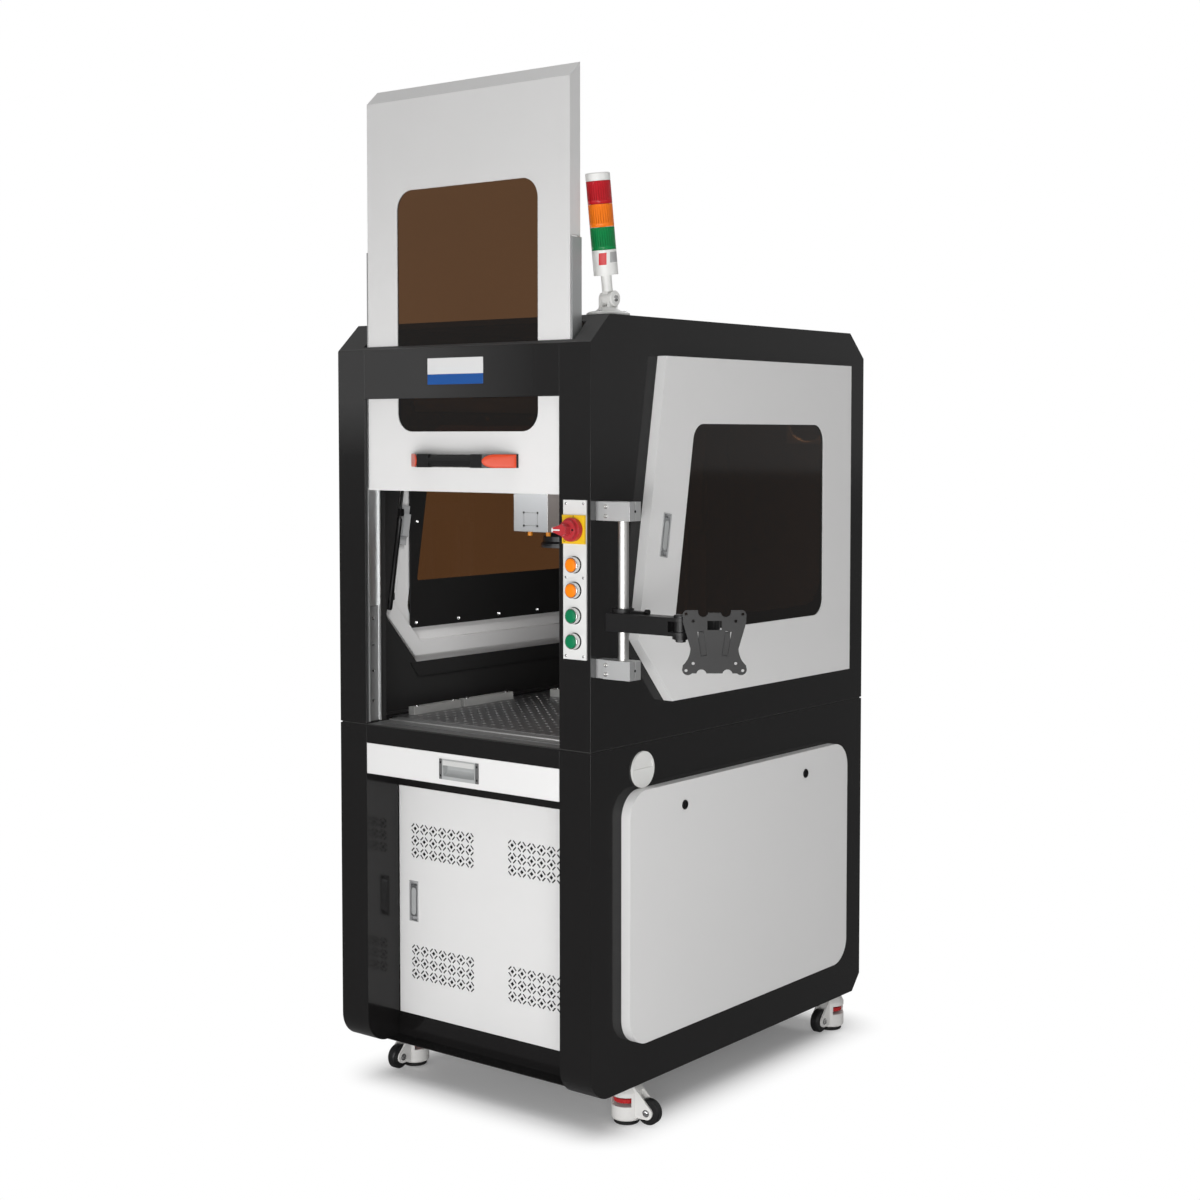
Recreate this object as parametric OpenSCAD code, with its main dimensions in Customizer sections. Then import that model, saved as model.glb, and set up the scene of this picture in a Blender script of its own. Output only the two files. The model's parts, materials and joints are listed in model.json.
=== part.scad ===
// Laser engraving machine: enclosed cabinet on levelling casters, with a lift door,
// two side doors, a drawer, a monitor arm, a signal tower and a scan head on a Z column.
// Millimetres. X to the right, Y to the back, Z up. The floor is at Z = 0.

/* [Cabinet] */
// Width over the side sheets
cab_w = 652; // [620:1:700]
// Depth from the front sheet to the back sheet
cab_d = 974; // [950:1:1020]
// Height of the underside above the floor
base_z = 86; // [86:1:96]
// Height of the joint between the lower and the upper cabinet
seam_z = 745; // [735:1:760]
// Height of the roof
roof_z = 1552; // [1540:1:1570]
// Thickness of the cabinet sheets
sheet = 2; // [1.5:0.1:2.5]
// Width of each front post
post_w = 74; // [70:1:78]
// Depth of the recess in front of the lower door
recess_d = 92; // [86:1:100]
// Depth of the sloped strip at the front and rear of the roof
cham_d = 58; // [54:1:62]
// Height of the same strip
cham_h = 54; // [50:1:58]
// Radius at the foot of the front posts
foot_r = 55; // [45:1:65]
// Depth of the sloped strip at the rear foot
heel_d = 31; // [24:1:36]
// Height of the same strip
heel_h = 35; // [28:1:40]
// Thickness of the deck plate between the two cabinets
deck_t = 3; // [3:0.5:5]
// How far the deck's edge stays inside the side sheets
deck_in = 2.5; // [2:0.5:4]
// Height of the header above the work opening
header_h = 97; // [90:1:104]
// Height of the rail under the lower door
kick_h = 48; // [42:1:56]
// Diameter of the extraction spigot on the back
duct_d = 100; // [90:1:110]

/* [Lift door] */
// Width of the lift door
lift_w = 520; // [510:1:526]
// Height of its front face
lift_h = 766; // [750:1:775]
// Depth of its folded rim
lift_t = 30; // [28:1:32]
// Distance from the front sheet to its front face
lift_y = 9; // [8.5:0.5:11]
// Sideways offset of its centre from the cabinet's centre
lift_x = 11; // [6:1:13]
// Travel from raised to closed
lift_travel = 469; // [455:1:470]
// Gap over the deck when closed
lift_gap = 3.5; // [3:0.5:8]
// Width of its window
lift_win_w = 362; // [340:1:380]
// Height of its window
lift_win_h = 472; // [450:1:490]
// Height of the window's sill above the door's lower edge
lift_win_sill = 117; // [110:1:125]
// Corner radius of its window
lift_win_r = 38; // [20:1:50]
// Length of the handle
grip_l = 270; // [240:1:300]
// Outer diameter of the handle tube
grip_d = 22; // [18:1:26]
// Distance from the door's face to the handle's axis
grip_reach = 34; // [30:1:40]
// Height of the handle above the door's lower edge
grip_up = 61; // [50:1:70]
// Sideways run of the handle's slanted legs
grip_slant = 51; // [45:1:60]

/* [Telescopic slides] */
// Length of a closed slide
slide_l = 474; // [460:1:474]
// Width of its outer member
slide_w = 34; // [32:1:36]
// Thickness of a closed slide
slide_t = 12.7; // [12:0.1:13]
// How far the slide sits inside the door's rim
slide_in = 5; // [4.5:0.5:6]

/* [Side doors] */
// How far the side doors stand proud of the side sheets
side_t = 22; // [20:1:26]
// Distance of their rear edge from the back of the cabinet
side_rear_in = 89; // [79:1:104]
// Y of their foremost corner
side_front_y = 115; // [108:1:125]
// Y of their upper front corner
side_top_y = 205; // [190:1:220]
// Y where the slanted lower corner meets the lower edge
side_toe_y = 226; // [215:1:240]
// Height of that slanted corner
side_toe_h = 127; // [110:1:140]
// Height of their lower edge over the seam
side_low = 74; // [68:1:85]
// Depth of their upper edge below the roof
side_drop = 73; // [66:1:85]
// Width of the frame round their windows, front and rear
side_rim_y = 114; // [105:1:120]
// Height of the frame above and below their windows
side_rim_z = 128; // [120:1:135]
// Corner radius of their windows
side_win_r = 35; // [20:1:45]
// Largest opening angle of the doors, for the hinge's reach
pin_d = 6; // [5:0.5:7]

/* [Lower front] */
// Height of the drawer's front
drawer_h = 62; // [58:1:66]
// Distance from the seam down to the drawer's front
drawer_drop = 37; // [34:1:42]
// Depth of the drawer's tray
drawer_d = 420; // [380:1:450]
// Width of the rail between the drawer and the lower door
rail_h = 37; // [32:1:42]
// Depth of the lower door's folded rim
front_t = 18; // [16:1:20]
// Pitch of the vent pattern
vent_pitch = 25; // [23:0.5:26]
// Distance of the vent groups from the door's centre
vent_x = 131; // [125:1:135]

/* [Service panels] */
// Y of a service panel's front edge
panel_y = 93; // [88:1:100]
// Y of its rear edge
panel_end_y = 881; // [860:1:890]
// Height of its lower edge over the underside
panel_low = 87; // [80:1:95]
// Distance from the seam down to its upper edge
panel_drop = 86; // [86:1:95]
// Corner radius
panel_r = 52; // [40:1:60]
// How far it stands proud
panel_t = 21; // [18:1:24]
// Diameter of the cable cap above the right panel
cap_d = 70; // [64:1:72]

/* [Controls] */
// Width of the control plate
ctrl_w = 54; // [50:1:56]
// Height of the control plate
ctrl_h = 294; // [290:1:300]
// Height of its lower end over the seam
ctrl_low = 171; // [150:1:190]
// Thickness of the control plate
ctrl_t = 3; // [2:0.5:4]
// Pitch of the push buttons
button_pitch = 47; // [44:0.5:49]
// Diameter of a push button's cap
button_d = 24; // [22:0.5:26]
// Travel of a push button
button_travel = 4; // [3:0.5:5]
// Side of the isolator's square plate
iso_w = 53; // [48:1:53]

/* [Monitor arm] */
// Diameter of the pole
pole_d = 20; // [19:0.5:22]
// Distance from the side sheet to the pole's axis
pole_x = 54; // [50:1:58]
// Y of the pole's axis
pole_y = 28; // [26:1:30]
// Height of the pole's lower clamp over the seam
pole_low = 138; // [120:1:150]
// Distance between the two clamps, centre to centre
pole_span = 290; // [270:1:310]
// Height of the arm over the lower clamp's lower face
arm_up = 106; // [90:1:130]
// Side of the arm's square tube
arm_s = 33; // [30:1:36]
// Length of the inner arm, from the pole to the elbow
arm_l1 = 136; // [130:1:150]
// Length of the outer arm, from the elbow to the head
arm_l2 = 64; // [62:1:70]
// Drop from the arm's centre to the monitor plate's centre
plate_drop = 25; // [24:1:32]
// Distance from the head's axis to the monitor plate's face
plate_reach = 55; // [52:1:60]
// Turn of the monitor plate about the head's axis
plate_turn = 38; // [30:1:45]

/* [Signal tower] */
// Diameter of the tower's tube
tower_d = 46; // [42:1:50]
// Length of the tube
tower_l = 187; // [170:1:200]
// Distance from the right side sheet to the tower's axis
tower_x = 45; // [42:1:50]
// Y of the tower's axis
tower_y = 110; // [105:1:140]
// Forward lean of the tower at rest
tower_lean = 8; // [0:1:12]

/* [Casters] */
// Diameter of the wheel
wheel_d = 50; // [46:1:52]
// Width of the wheel
wheel_w = 18; // [16:1:20]
// Distance from the swivel axis to the axle
trail = 50; // [48:1:54]
// Diameter of the foot pad
pad_d = 50; // [44:1:52]
// Distance from the side sheets to the casters' axes
caster_in = 44; // [40:1:60]
// Y of the front casters
caster_front_y = 168; // [160:1:190]
// Distance from the back sheet to the rear casters
caster_rear_in = 52; // [52:1:80]

/* [Work area] */
// Width of the perforated table
table_w = 540; // [520:1:560]
// Depth of the perforated table
table_d = 600; // [580:1:610]
// Thickness of the perforated table
table_t = 4; // [4:0.5:6]
// Pitch of its holes
table_pitch = 25; // [24:1:30]
// Diameter of its holes
table_hole_d = 6; // [5:0.5:7]
// Width and height of the fence bars on the table
fence_s = 16; // [10:1:20]
// Height of the lens's lower rim over the table
focus_h = 349; // [300:1:380]
// Diameter of the lens
lens_d = 86; // [70:1:90]
// Y of the lens's axis
lens_y = 317; // [300:1:330]
// Y of the column's front face
column_y = 724; // [720:1:740]

/* [Hidden] */
$fn = 48;
fit = 0.3;
run = 0.05;
touch = 0.01;

// Levels and planes that follow from the driving sizes
half_w = cab_w / 2;
deck_lo = seam_z - deck_t / 2;
deck_hi = seam_z + deck_t / 2;
brow_z = roof_z - cham_h;
header_z = brow_z - header_h;
open_w = cab_w - 2 * post_w;

// Lift door, drawn raised
lift_z = deck_hi + lift_gap + lift_travel;
lift_slope = cham_h / cham_d;
lift_l = lift_x - lift_w / 2;
lift_r = lift_x + lift_w / 2;
grip_z = lift_z + grip_up;
slide_c = lift_y + lift_t / 2;
slide_z = deck_hi + lift_gap;
slide_wall = 1.2;
slide_play = 0.4;
slide_outer_x = slide_t - slide_in;
slide_nest = slide_wall + slide_play;
slide_mid_u = slide_outer_x - fit - 2 * slide_nest;
slot_front = lift_y - 2;
slot_back = lift_y + lift_t + 6;

// Side doors
side_rear_y = cab_d - side_rear_in;
side_z0 = seam_z + side_low;
side_z1 = roof_z - side_drop;
side_pts = [
    [side_toe_y, side_z0],
    [side_rear_y, side_z0],
    [side_rear_y, side_z1],
    [side_top_y, side_z1],
    [side_front_y, side_z0 + side_toe_h]
];
side_lean = (side_top_y - side_front_y) / (side_z1 - side_z0 - side_toe_h);
side_win_z0 = side_z0 + side_rim_z;
side_win_z1 = side_z1 - side_rim_z;
function side_edge(z) = side_front_y + side_lean * (z - side_z0 - side_toe_h);
side_win = [
    [side_edge(side_win_z0) + side_rim_y, side_win_z0],
    [side_rear_y - side_rim_y, side_win_z0],
    [side_rear_y - side_rim_y, side_win_z1],
    [side_edge(side_win_z1) + side_rim_y, side_win_z1]
];
glass_t = 4;
glass_lap = 14;
pin_r = pin_d / 2;
knuckle_r = pin_r + 2.5;
knuckle_h = 26;
side_pin_x = half_w + side_t / 2;
side_pin_y = side_rear_y + knuckle_r + 1;
side_hinge_z = [side_z0 + 90, side_z1 - 142];

// Flush latches
latch_w = 24;
latch_h = 84;
latch_dish = 10;
latch_in = 54;
latch_z = seam_z + 394;
latch_y = side_edge(latch_z) + latch_in;
paddle_w = 16;
paddle_h = 62;
paddle_t = 4;

// Lower front
drawer_z1 = seam_z - drawer_drop;
drawer_z0 = drawer_z1 - drawer_h;
shelf_z = drawer_z0 - sheet;
front_z0 = base_z + kick_h + sheet;
front_z1 = drawer_z0 - rail_h;
front_w = open_w - 3;
front_pin_x = open_w / 2 - knuckle_r - 0.5;
front_pin_y = recess_d - knuckle_r - 0.5;
front_hinge_z = [front_z0 + 60, front_z1 - 112];
front_latch_x = 40.5 - front_w / 2;
front_latch_z = (front_z0 + front_z1) / 2;
pull_w = 102;
pull_h = 40;

// Extraction spigot
duct_r = duct_d / 2;
duct_x = half_w - 150;
duct_z = roof_z - 190;

// Service panels
panel_z0 = base_z + panel_low;
panel_z1 = seam_z - panel_drop;
cap_y = 157;
cap_z = panel_z1 + cap_d / 2 + fit;

// Controls
ctrl_x = half_w - 8 - ctrl_w / 2;
ctrl_z0 = seam_z + ctrl_low;
button_r = button_d / 2;
button_z = [for (i = [0:3]) ctrl_z0 + 175 - i * button_pitch];
bezel_r = button_r + 1.8;
bezel_h = 11;
cap_out = 2;
iso_z = ctrl_z0 + 240;
iso_reach = 34;
stem_r = 4;

// Monitor arm
pole_r = pole_d / 2;
pole_axis = [half_w + pole_x, pole_y];
clamp_z0 = seam_z + pole_low;
clamp_h = 35;
clamp_l = pole_x + 27;
clamp_w = pole_d + 14;
arm_z = clamp_z0 + arm_up;
elbow = pole_axis + [arm_l1, -10];
head_axis = elbow + arm_l2 * [cos(62), sin(62)];
pivot_r = 6;
ear_t = 7;
tongue_t = arm_s - 2 * ear_t - 2 * fit;
plate_z = arm_z - plate_drop;
plate_t = 3;
tilt_y = 26 - plate_reach;
tilt_r = 12;
monitor_large = 100;
monitor_small = 75;
monitor_hole_r = 2.75;

// Signal tower
tower_axis = [half_w - tower_x, tower_y];
tower_pivot = 32;
tower_r = tower_d / 2;
tower_stem = 44;

// Casters
caster_top = base_z - 3;
axle_z = wheel_d / 2 + 3;
stud_r = 6;
spindle_r = 6;
drum_r = 30;
thumb_r = 25;
thumb_z = axle_z + 15;
thumb_h = 8;
caster_x = half_w - caster_in;
caster_back_y = cab_d - caster_rear_in;
// X, Y and heading of each caster's trail
CASTERS = [
    [caster_x, caster_front_y, 8],
    [-caster_x, caster_front_y, -90],
    [caster_x, caster_back_y, -88],
    [-caster_x, caster_back_y, -60]
];

// Work area
table_z = deck_hi + table_t;
table_cols = floor((table_w - 50) / table_pitch);
table_rows = floor((table_d - 40) / table_pitch);
lens_z = table_z + focus_h;
lens_h = 31;
head_z = lens_z + lens_h;
head_s = 100;
head_h = 118;
pilot_w = 89;
beam_w = 80;
beam_h = 78;
beam_z = head_z + 36;
column_w = 150;
column_d = 84;
column_top = roof_z - 110;
plate_gap = 14;

// Frame: the origin is under the middle of the whole object's box
right_reach = head_axis[0] + sin(plate_turn) * plate_reach + cos(plate_turn) * (monitor_large / 2 + 11);
front_reach = -ctrl_t - 4 - fit - iso_reach;
org_x = (right_reach - half_w - max(side_t, panel_t) - 1.5) / 2;
org_y = (front_reach + cab_d + 22) / 2;

// ---------- Helpers ----------

// Everything is drawn about the cabinet's own centre line and moved to the frame's origin here
module place() {
    translate([-org_x, -org_y, 0]) children();
}

// Box from corner a to corner b
module box(a, b) {
    translate(a) cube(b - a);
}

// Outline in Y and Z, extruded from x by t towards +X
module yz(x, t) {
    translate([x, 0, 0]) rotate([90, 0, 90]) linear_extrude(t) children();
}

// Outline in X and Z, extruded from y by t towards +Y
module xz(y, t) {
    translate([0, y + t, 0]) rotate([90, 0, 0]) linear_extrude(t) children();
}

// Bar with its axis along X, from x by l
module bar_x(x, y, z, r, l) {
    translate([x, y, z]) rotate([0, 90, 0]) cylinder(r = r, h = l);
}

// Bar with its axis along Y, from y by l
module bar_y(x, y, z, r, l) {
    translate([x, y, z]) rotate([-90, 0, 0]) cylinder(r = r, h = l);
}

// Rectangle from a to b with true arcs of radius r at its corners
module round_rect(a, b, r) {
    translate([a[0] + r, a[1]]) square([b[0] - a[0] - 2 * r, b[1] - a[1]]);
    translate([a[0], a[1] + r]) square([b[0] - a[0], b[1] - a[1] - 2 * r]);
    for (x = [a[0] + r, b[0] - r], y = [a[1] + r, b[1] - r]) translate([x, y]) circle(r);
}

// Stadium between points a and b with radius r
module stadium(a, b, r) {
    d = b - a;
    translate(a) circle(r);
    translate(b) circle(r);
    translate(a) rotate(atan2(d[1], d[0])) translate([0, 1 - r]) square([norm(d), 2 * r - 2]);
}

function unit(v) = v / norm(v);
function left_of(v) = [-v[1], v[0]];
function ring(pts, i) = pts[(i + len(pts)) % len(pts)];

// Convex outline, anticlockwise, moved inwards by d
function inset(pts, d) = [
    for (i = [0:len(pts) - 1])
        let (a = left_of(unit(pts[i] - ring(pts, i - 1))), b = left_of(unit(ring(pts, i + 1) - pts[i])))
        pts[i] + d * (a + b) / (1 + a * b)
];

// Convex outline with each corner rounded to radius r by n chords
function rounded(pts, r, n = 8) = [
    for (i = [0:len(pts) - 1])
        let (
            u = unit(ring(pts, i - 1) - pts[i]),
            v = unit(ring(pts, i + 1) - pts[i]),
            half = acos(u * v) / 2,
            c = pts[i] + unit(u + v) * r / sin(half),
            from = pts[i] + u * r / tan(half) - c,
            to = pts[i] + v * r / tan(half) - c,
            a = atan2(from[1], from[0]),
            turn = (atan2(to[1], to[0]) - a + 540) % 360 - 180
        )
        for (k = [0:n]) c + r * [cos(a + turn * k / n), sin(a + turn * k / n)]
];

// Mirrors its children to the left for s = -1
module side(s) {
    mirror([s < 0 ? 1 : 0, 0, 0]) children();
}

// ---------- Cabinet outlines, in Y and Z ----------

// Lower cabinet seen from the side, moved inwards by d
module lower_outline(d = 0) {
    difference() {
        polygon([
            [d, deck_lo], [d, base_z + d], [cab_d - heel_d - d * 0.42, base_z + d],
            [cab_d - d, base_z + heel_h + d * 0.38], [cab_d - d, deck_lo]
        ]);
        difference() {
            translate([d - 1, base_z + d - 1]) square([foot_r - d + 1, foot_r - d + 1]);
            translate([foot_r, base_z + foot_r]) circle(foot_r - d, $fn = 64);
        }
    }
}

// Upper cabinet seen from the side
module upper_outline() {
    polygon([
        [0, deck_hi], [cab_d, deck_hi], [cab_d, brow_z],
        [cab_d - cham_d, roof_z], [cham_d, roof_z], [0, brow_z]
    ]);
}

// ---------- Lower cabinet ----------

// Floor pan with the kick rail, the sloped heel and the caster studs
module base_pan() {
    color("#1f1d1e") {
        difference() {
            box([-half_w + sheet, foot_r, base_z], [half_w - sheet, cab_d - heel_d, base_z + sheet]);
            for (s = [-1, 1]) side(s) {
                box([half_w - post_w - touch, 0, base_z - 1], [half_w, recess_d, base_z + sheet + 1]);
            }
        }
        box([-open_w / 2, recess_d, base_z + sheet], [open_w / 2, recess_d + sheet, base_z + kick_h]);
        box([-open_w / 2, recess_d, base_z + kick_h], [open_w / 2, recess_d + 16, base_z + kick_h + sheet]);
        yz(-half_w + sheet, cab_w - 2 * sheet) {
            polygon([
                [cab_d - heel_d, base_z], [cab_d, base_z + heel_h], [cab_d, base_z + heel_h + 20],
                [cab_d - sheet, base_z + heel_h + 20], [cab_d - sheet, base_z + heel_h + 1],
                [cab_d - heel_d - 1, base_z + sheet]
            ]);
        }
        for (c = CASTERS) translate([c[0], c[1], 0]) {
            translate([0, 0, caster_top]) cylinder(r = 20, h = base_z - caster_top);
            translate([0, 0, caster_top - 13]) cylinder(r = stud_r, h = 13 + touch);
            translate([0, 0, base_z + sheet]) cylinder(r = 12, h = 10);
        }
    }
}

// Folded side of the lower cabinet with its hollow front post
module lower_side(s) {
    color("#1f1d1e") side(s) {
        difference() {
            yz(half_w - sheet, sheet) lower_outline();
            yz(half_w - sheet - 1, sheet + 2) {
                round_rect([panel_y + 30, panel_z0 + 30], [panel_end_y - 30, panel_z1 - 40], 30);
                if (s > 0) translate([cap_y, cap_z]) circle(cap_d / 2 - 5);
            }
        }
        yz(half_w - post_w, sheet) intersection() {
            lower_outline();
            square([recess_d, deck_lo]);
        }
        yz(half_w - post_w + sheet, post_w - 2 * sheet) intersection() {
            difference() {
                lower_outline();
                lower_outline(sheet);
            }
            union() {
                square([foot_r, deck_lo]);
                square([recess_d, base_z + sheet]);
            }
        }
        box([half_w - 24, recess_d, deck_lo - sheet], [half_w - sheet, cab_d - 8, deck_lo]);
        if (s > 0) for (z = front_hinge_z) fixed_knuckle([front_pin_x, front_pin_y, z], open_w / 2);
    }
}

// Fixed half of a lift-off hinge: a knuckle, its pin and a leaf back to x
module fixed_knuckle(at, x) {
    translate(at) cylinder(r = knuckle_r, h = knuckle_h);
    translate(at) cylinder(r = pin_r, h = 2 * knuckle_h - 2);
    box([min(at[0], x), at[1] - 2, at[2]], [max(at[0], x), at[1] + 2, at[2] + knuckle_h]);
}

// Moving half of a lift-off hinge: a knuckle over the pin
module moving_knuckle(at) {
    difference() {
        children();
        translate([at[0], at[1], at[2]]) cylinder(r = pin_r + run, h = 2 * knuckle_h - 1);
        translate([at[0], at[1], at[2] - 1]) cylinder(r = knuckle_r + fit, h = knuckle_h + 1 + fit);
    }
}

// Folded trough that the drawer runs in, with the rails over and under its front
module drawer_housing() {
    depth = drawer_d + 30;
    color("#1f1d1e") {
        box([-open_w / 2, 0, shelf_z], [open_w / 2, depth, shelf_z + sheet]);
        for (s = [-1, 1]) side(s) {
            box([open_w / 2 - sheet, sheet, shelf_z], [open_w / 2, depth, deck_lo]);
        }
        box([-open_w / 2, 0, drawer_z1 + fit], [open_w / 2, sheet, deck_lo]);
        box([-open_w / 2, 0, deck_lo - sheet], [open_w / 2, 24, deck_lo]);
        box([-open_w / 2, recess_d, front_z1 + fit], [open_w / 2, recess_d + sheet, shelf_z + sheet]);
        box([-open_w / 2, depth - sheet, shelf_z], [open_w / 2, depth, deck_lo]);
    }
}

// Plate between the two cabinets
module deck() {
    color("#232122") difference() {
        box([-half_w + deck_in, deck_in, deck_lo], [half_w - deck_in, cab_d - deck_in, deck_hi]);
        for (x = [-200, 200]) translate([x, cab_d - 70, deck_lo - 1]) cylinder(r = 25, h = deck_t + 2);
    }
}

// Both removable back panels: vented below, extraction spigot above
module back_panels() {
    color("#1f1d1e") {
        difference() {
            box(
                [-half_w + sheet, cab_d - 2 * sheet, base_z + heel_h + 3],
                [half_w - sheet, cab_d - sheet, deck_lo]
            );
            for (x = [-200, 200], i = [0:9]) {
                box([x - 55, cab_d - 3 * sheet, 240 + i * 16], [x + 55, cab_d, 246 + i * 16]);
            }
            bar_y(-half_w + 90, cab_d - 3 * sheet, base_z + heel_h + 60, 10, 3 * sheet);
        }
        // Cable gland, empty
        difference() {
            bar_y(-half_w + 90, cab_d - 3 * sheet, base_z + heel_h + 60, 13, 4 * sheet + 12);
            bar_y(-half_w + 90, cab_d - 4 * sheet, base_z + heel_h + 60, 6, 6 * sheet + 14);
        }
        difference() {
            box(
                [-half_w + sheet, cab_d - 2 * sheet, deck_hi],
                [half_w - sheet, cab_d - sheet, brow_z - sheet]
            );
            box(
                [duct_x - duct_r - 2, cab_d - 3 * sheet, duct_z - duct_r - 2],
                [duct_x + duct_r + 2, cab_d, duct_z + duct_r + 2]
            );
        }
    }
}

// Extraction spigot on its square flange, screwed over the opening in the upper back panel
module duct_spigot() {
    color("#c5c6c6") difference() {
        union() {
            box(
                [duct_x - duct_r - 15, cab_d - sheet, duct_z - duct_r - 15],
                [duct_x + duct_r + 15, cab_d, duct_z + duct_r + 15]
            );
            bar_y(duct_x, cab_d - touch, duct_z, duct_r, 22 + touch);
        }
        bar_y(duct_x, cab_d - 2 * sheet, duct_z, duct_r - 2, 2 * sheet + 23);
        for (x = [-duct_r - 8, duct_r + 8], z = [-duct_r - 8, duct_r + 8]) {
            bar_y(duct_x + x, cab_d - 2 * sheet, duct_z + z, 2.2, 3 * sheet);
        }
    }
}

// Both white service panels, which lift off after their locks are turned
module service_panels() {
    color("#d8d8d6") for (s = [-1, 1]) side(s) difference() {
        yz(half_w, panel_t) round_rect([panel_y, panel_z0], [panel_end_y, panel_z1], panel_r);
        yz(half_w - 1, panel_t - sheet + 1) {
            round_rect(
                [panel_y + sheet, panel_z0 + sheet],
                [panel_end_y - sheet, panel_z1 - sheet],
                panel_r - sheet
            );
        }
        for (y = [panel_y + 176, panel_end_y - 172]) bar_x(half_w, y, panel_z1 - 47, 9.5, panel_t + 1);
    }
}

// Round cap in the cable hole of the right side
module cable_cap() {
    color("#efefec") difference() {
        union() {
            bar_x(half_w, cap_y, cap_z, cap_d / 2, 4);
            bar_x(half_w - 12, cap_y, cap_z, cap_d / 2 - 5 - fit, 13);
        }
        bar_x(half_w - 13, cap_y, cap_z, cap_d / 2 - 8, 15);
        intersection() {
            bar_x(half_w + 2.5, cap_y, cap_z, cap_d / 2 - 5, 4);
            box([half_w, cap_y - 40, cap_z + 2], [half_w + 9, cap_y + 40, cap_z + 14]);
        }
    }
}

// ---------- Upper cabinet ----------

// Folded side of the upper cabinet: side sheet, front post, slide channel and hinge pins
module upper_side(s) {
    edge = lift_w / 2 + s * lift_x;
    track = edge + slide_outer_x;
    color("#1f1d1e") side(s) {
        difference() {
            yz(half_w - sheet, sheet) upper_outline();
            yz(half_w - sheet - 1, sheet + 2) polygon(rounded(inset(side_pts, 16), 12));
        }
        difference() {
            box([half_w - post_w, 0, deck_hi], [half_w - sheet, sheet, brow_z]);
            if (s > 0) {
                for (z = button_z) bar_y(ctrl_x, -1, z, button_r - 1, sheet + 2);
                bar_y(ctrl_x, -1, iso_z, 14, sheet + 2);
            }
        }
        box([half_w - post_w, sheet, deck_hi], [half_w - post_w + sheet, lift_y - 2.5, header_z]);
        box([track, lift_y - 4, deck_hi], [track + sheet, 62, brow_z - 50]);
        box([track + sheet, 60, deck_hi], [half_w - sheet, 62, brow_z - 50]);
        box([half_w - 24, 64, deck_hi], [half_w - sheet, cab_d - 8, deck_hi + sheet]);
        for (z = side_hinge_z) fixed_knuckle([side_pin_x, side_pin_y, z], half_w);
    }
}

// Header, sloped strips and roof in one folded cover, with the slot that the lift door rises through
module top_cover() {
    in = half_w - sheet;
    color("#1f1d1e") {
        difference() {
            union() {
                yz(-in, 2 * in) polygon([
                    [0, brow_z], [cham_d, roof_z], [cab_d - cham_d, roof_z], [cab_d, brow_z],
                    [cab_d, brow_z - 20], [cab_d - sheet, brow_z - 20], [cab_d - sheet, brow_z - 0.8],
                    [cab_d - cham_d - 0.8, roof_z - sheet], [cham_d + 0.8, roof_z - sheet], [sheet, brow_z]
                ]);
            }
            box([lift_l - 4, slot_front, brow_z - 1], [lift_r + slide_outer_x + 3, slot_back, roof_z + 1]);
            box([lift_l - slide_outer_x - 3, slot_front, brow_z - 1], [lift_r, slot_back, roof_z + 1]);
        }
        box([-open_w / 2, 0, header_z], [open_w / 2, sheet, brow_z]);
        box([-open_w / 2 + fit, sheet, header_z], [open_w / 2 - fit, lift_y - 3, header_z + sheet]);
    }
}

// ---------- Lift door and its slides ----------

// Folded door pan, bevelled along the top like the roof, drawn raised
module lift_door() {
    sill = lift_z + lift_win_sill;
    half_win = lift_win_w / 2;
    mid = lift_x + 2;
    color("#e9e7e6") difference() {
        union() {
            difference() {
                yz(lift_l, lift_w) polygon([
                    [lift_y, lift_z], [lift_y + lift_t, lift_z],
                    [lift_y + lift_t, lift_z + lift_h + lift_t * lift_slope], [lift_y, lift_z + lift_h]
                ]);
                yz(lift_l + sheet, lift_w - 2 * sheet) polygon([
                    [lift_y + sheet, lift_z + sheet], [lift_y + lift_t + 1, lift_z + sheet],
                    [lift_y + lift_t + 1, lift_z + lift_h + (lift_t + 1) * lift_slope - sheet],
                    [lift_y + sheet, lift_z + lift_h + sheet * lift_slope - sheet]
                ]);
            }
            for (s = [-1, 1]) slide_bracket(s);
        }
        xz(lift_y - 1, sheet + 2)
            round_rect([mid - half_win, sill], [mid + half_win, sill + lift_win_h], lift_win_r);
        for (s = [-1, 1]) translate([lift_x, 0, 0]) side(s) {
            box(
                [lift_w / 2 - slide_in, slide_c - 9, lift_z - 1],
                [lift_w / 2 + 1, slide_c + 9, lift_z + slide_l + 2]
            );
            bar_y(grip_l / 2 - 15, lift_y - 1, grip_z, 3, sheet + 2);
        }
    }
}

// Angle inside the door's rim that carries an inner slide member
module slide_bracket(s) {
    in = lift_w / 2 - slide_in;
    translate([lift_x, 0, 0]) side(s) {
        box([in - sheet, lift_y + sheet - touch, lift_z + touch], [in, slide_c + 9, lift_z + slide_l]);
    }
}

// Tinted pane behind the door's window
module lift_glass() {
    sill = lift_z + lift_win_sill;
    half_win = lift_win_w / 2 + glass_lap;
    mid = lift_x + 2;
    color("#6b4a22", 0.6) {
        box(
            [mid - half_win, lift_y + sheet, sill - glass_lap],
            [mid + half_win, lift_y + sheet + glass_t, sill + lift_win_h + glass_lap]
        );
    }
}

// Handle: round bar between two slanted legs
module lift_handle() {
    y = lift_y - grip_reach;
    r = grip_d / 2;
    half = grip_l / 2;
    front = y - r - 2;
    color("#1b1b1c") {
        bar_x(lift_x - half + 70, y, grip_z, r, grip_l - 140);
        for (s = [-1, 1]) translate([lift_x, 0, grip_z - r - 2]) side(s) {
            linear_extrude(grip_d + 4) polygon([
                [half, lift_y], [half, lift_y - 6], [half - grip_slant, front], [half - 80, front],
                [half - 80, y + r], [half - grip_slant - 6, y + r], [half - 32, lift_y]
            ]);
        }
    }
}

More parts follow.
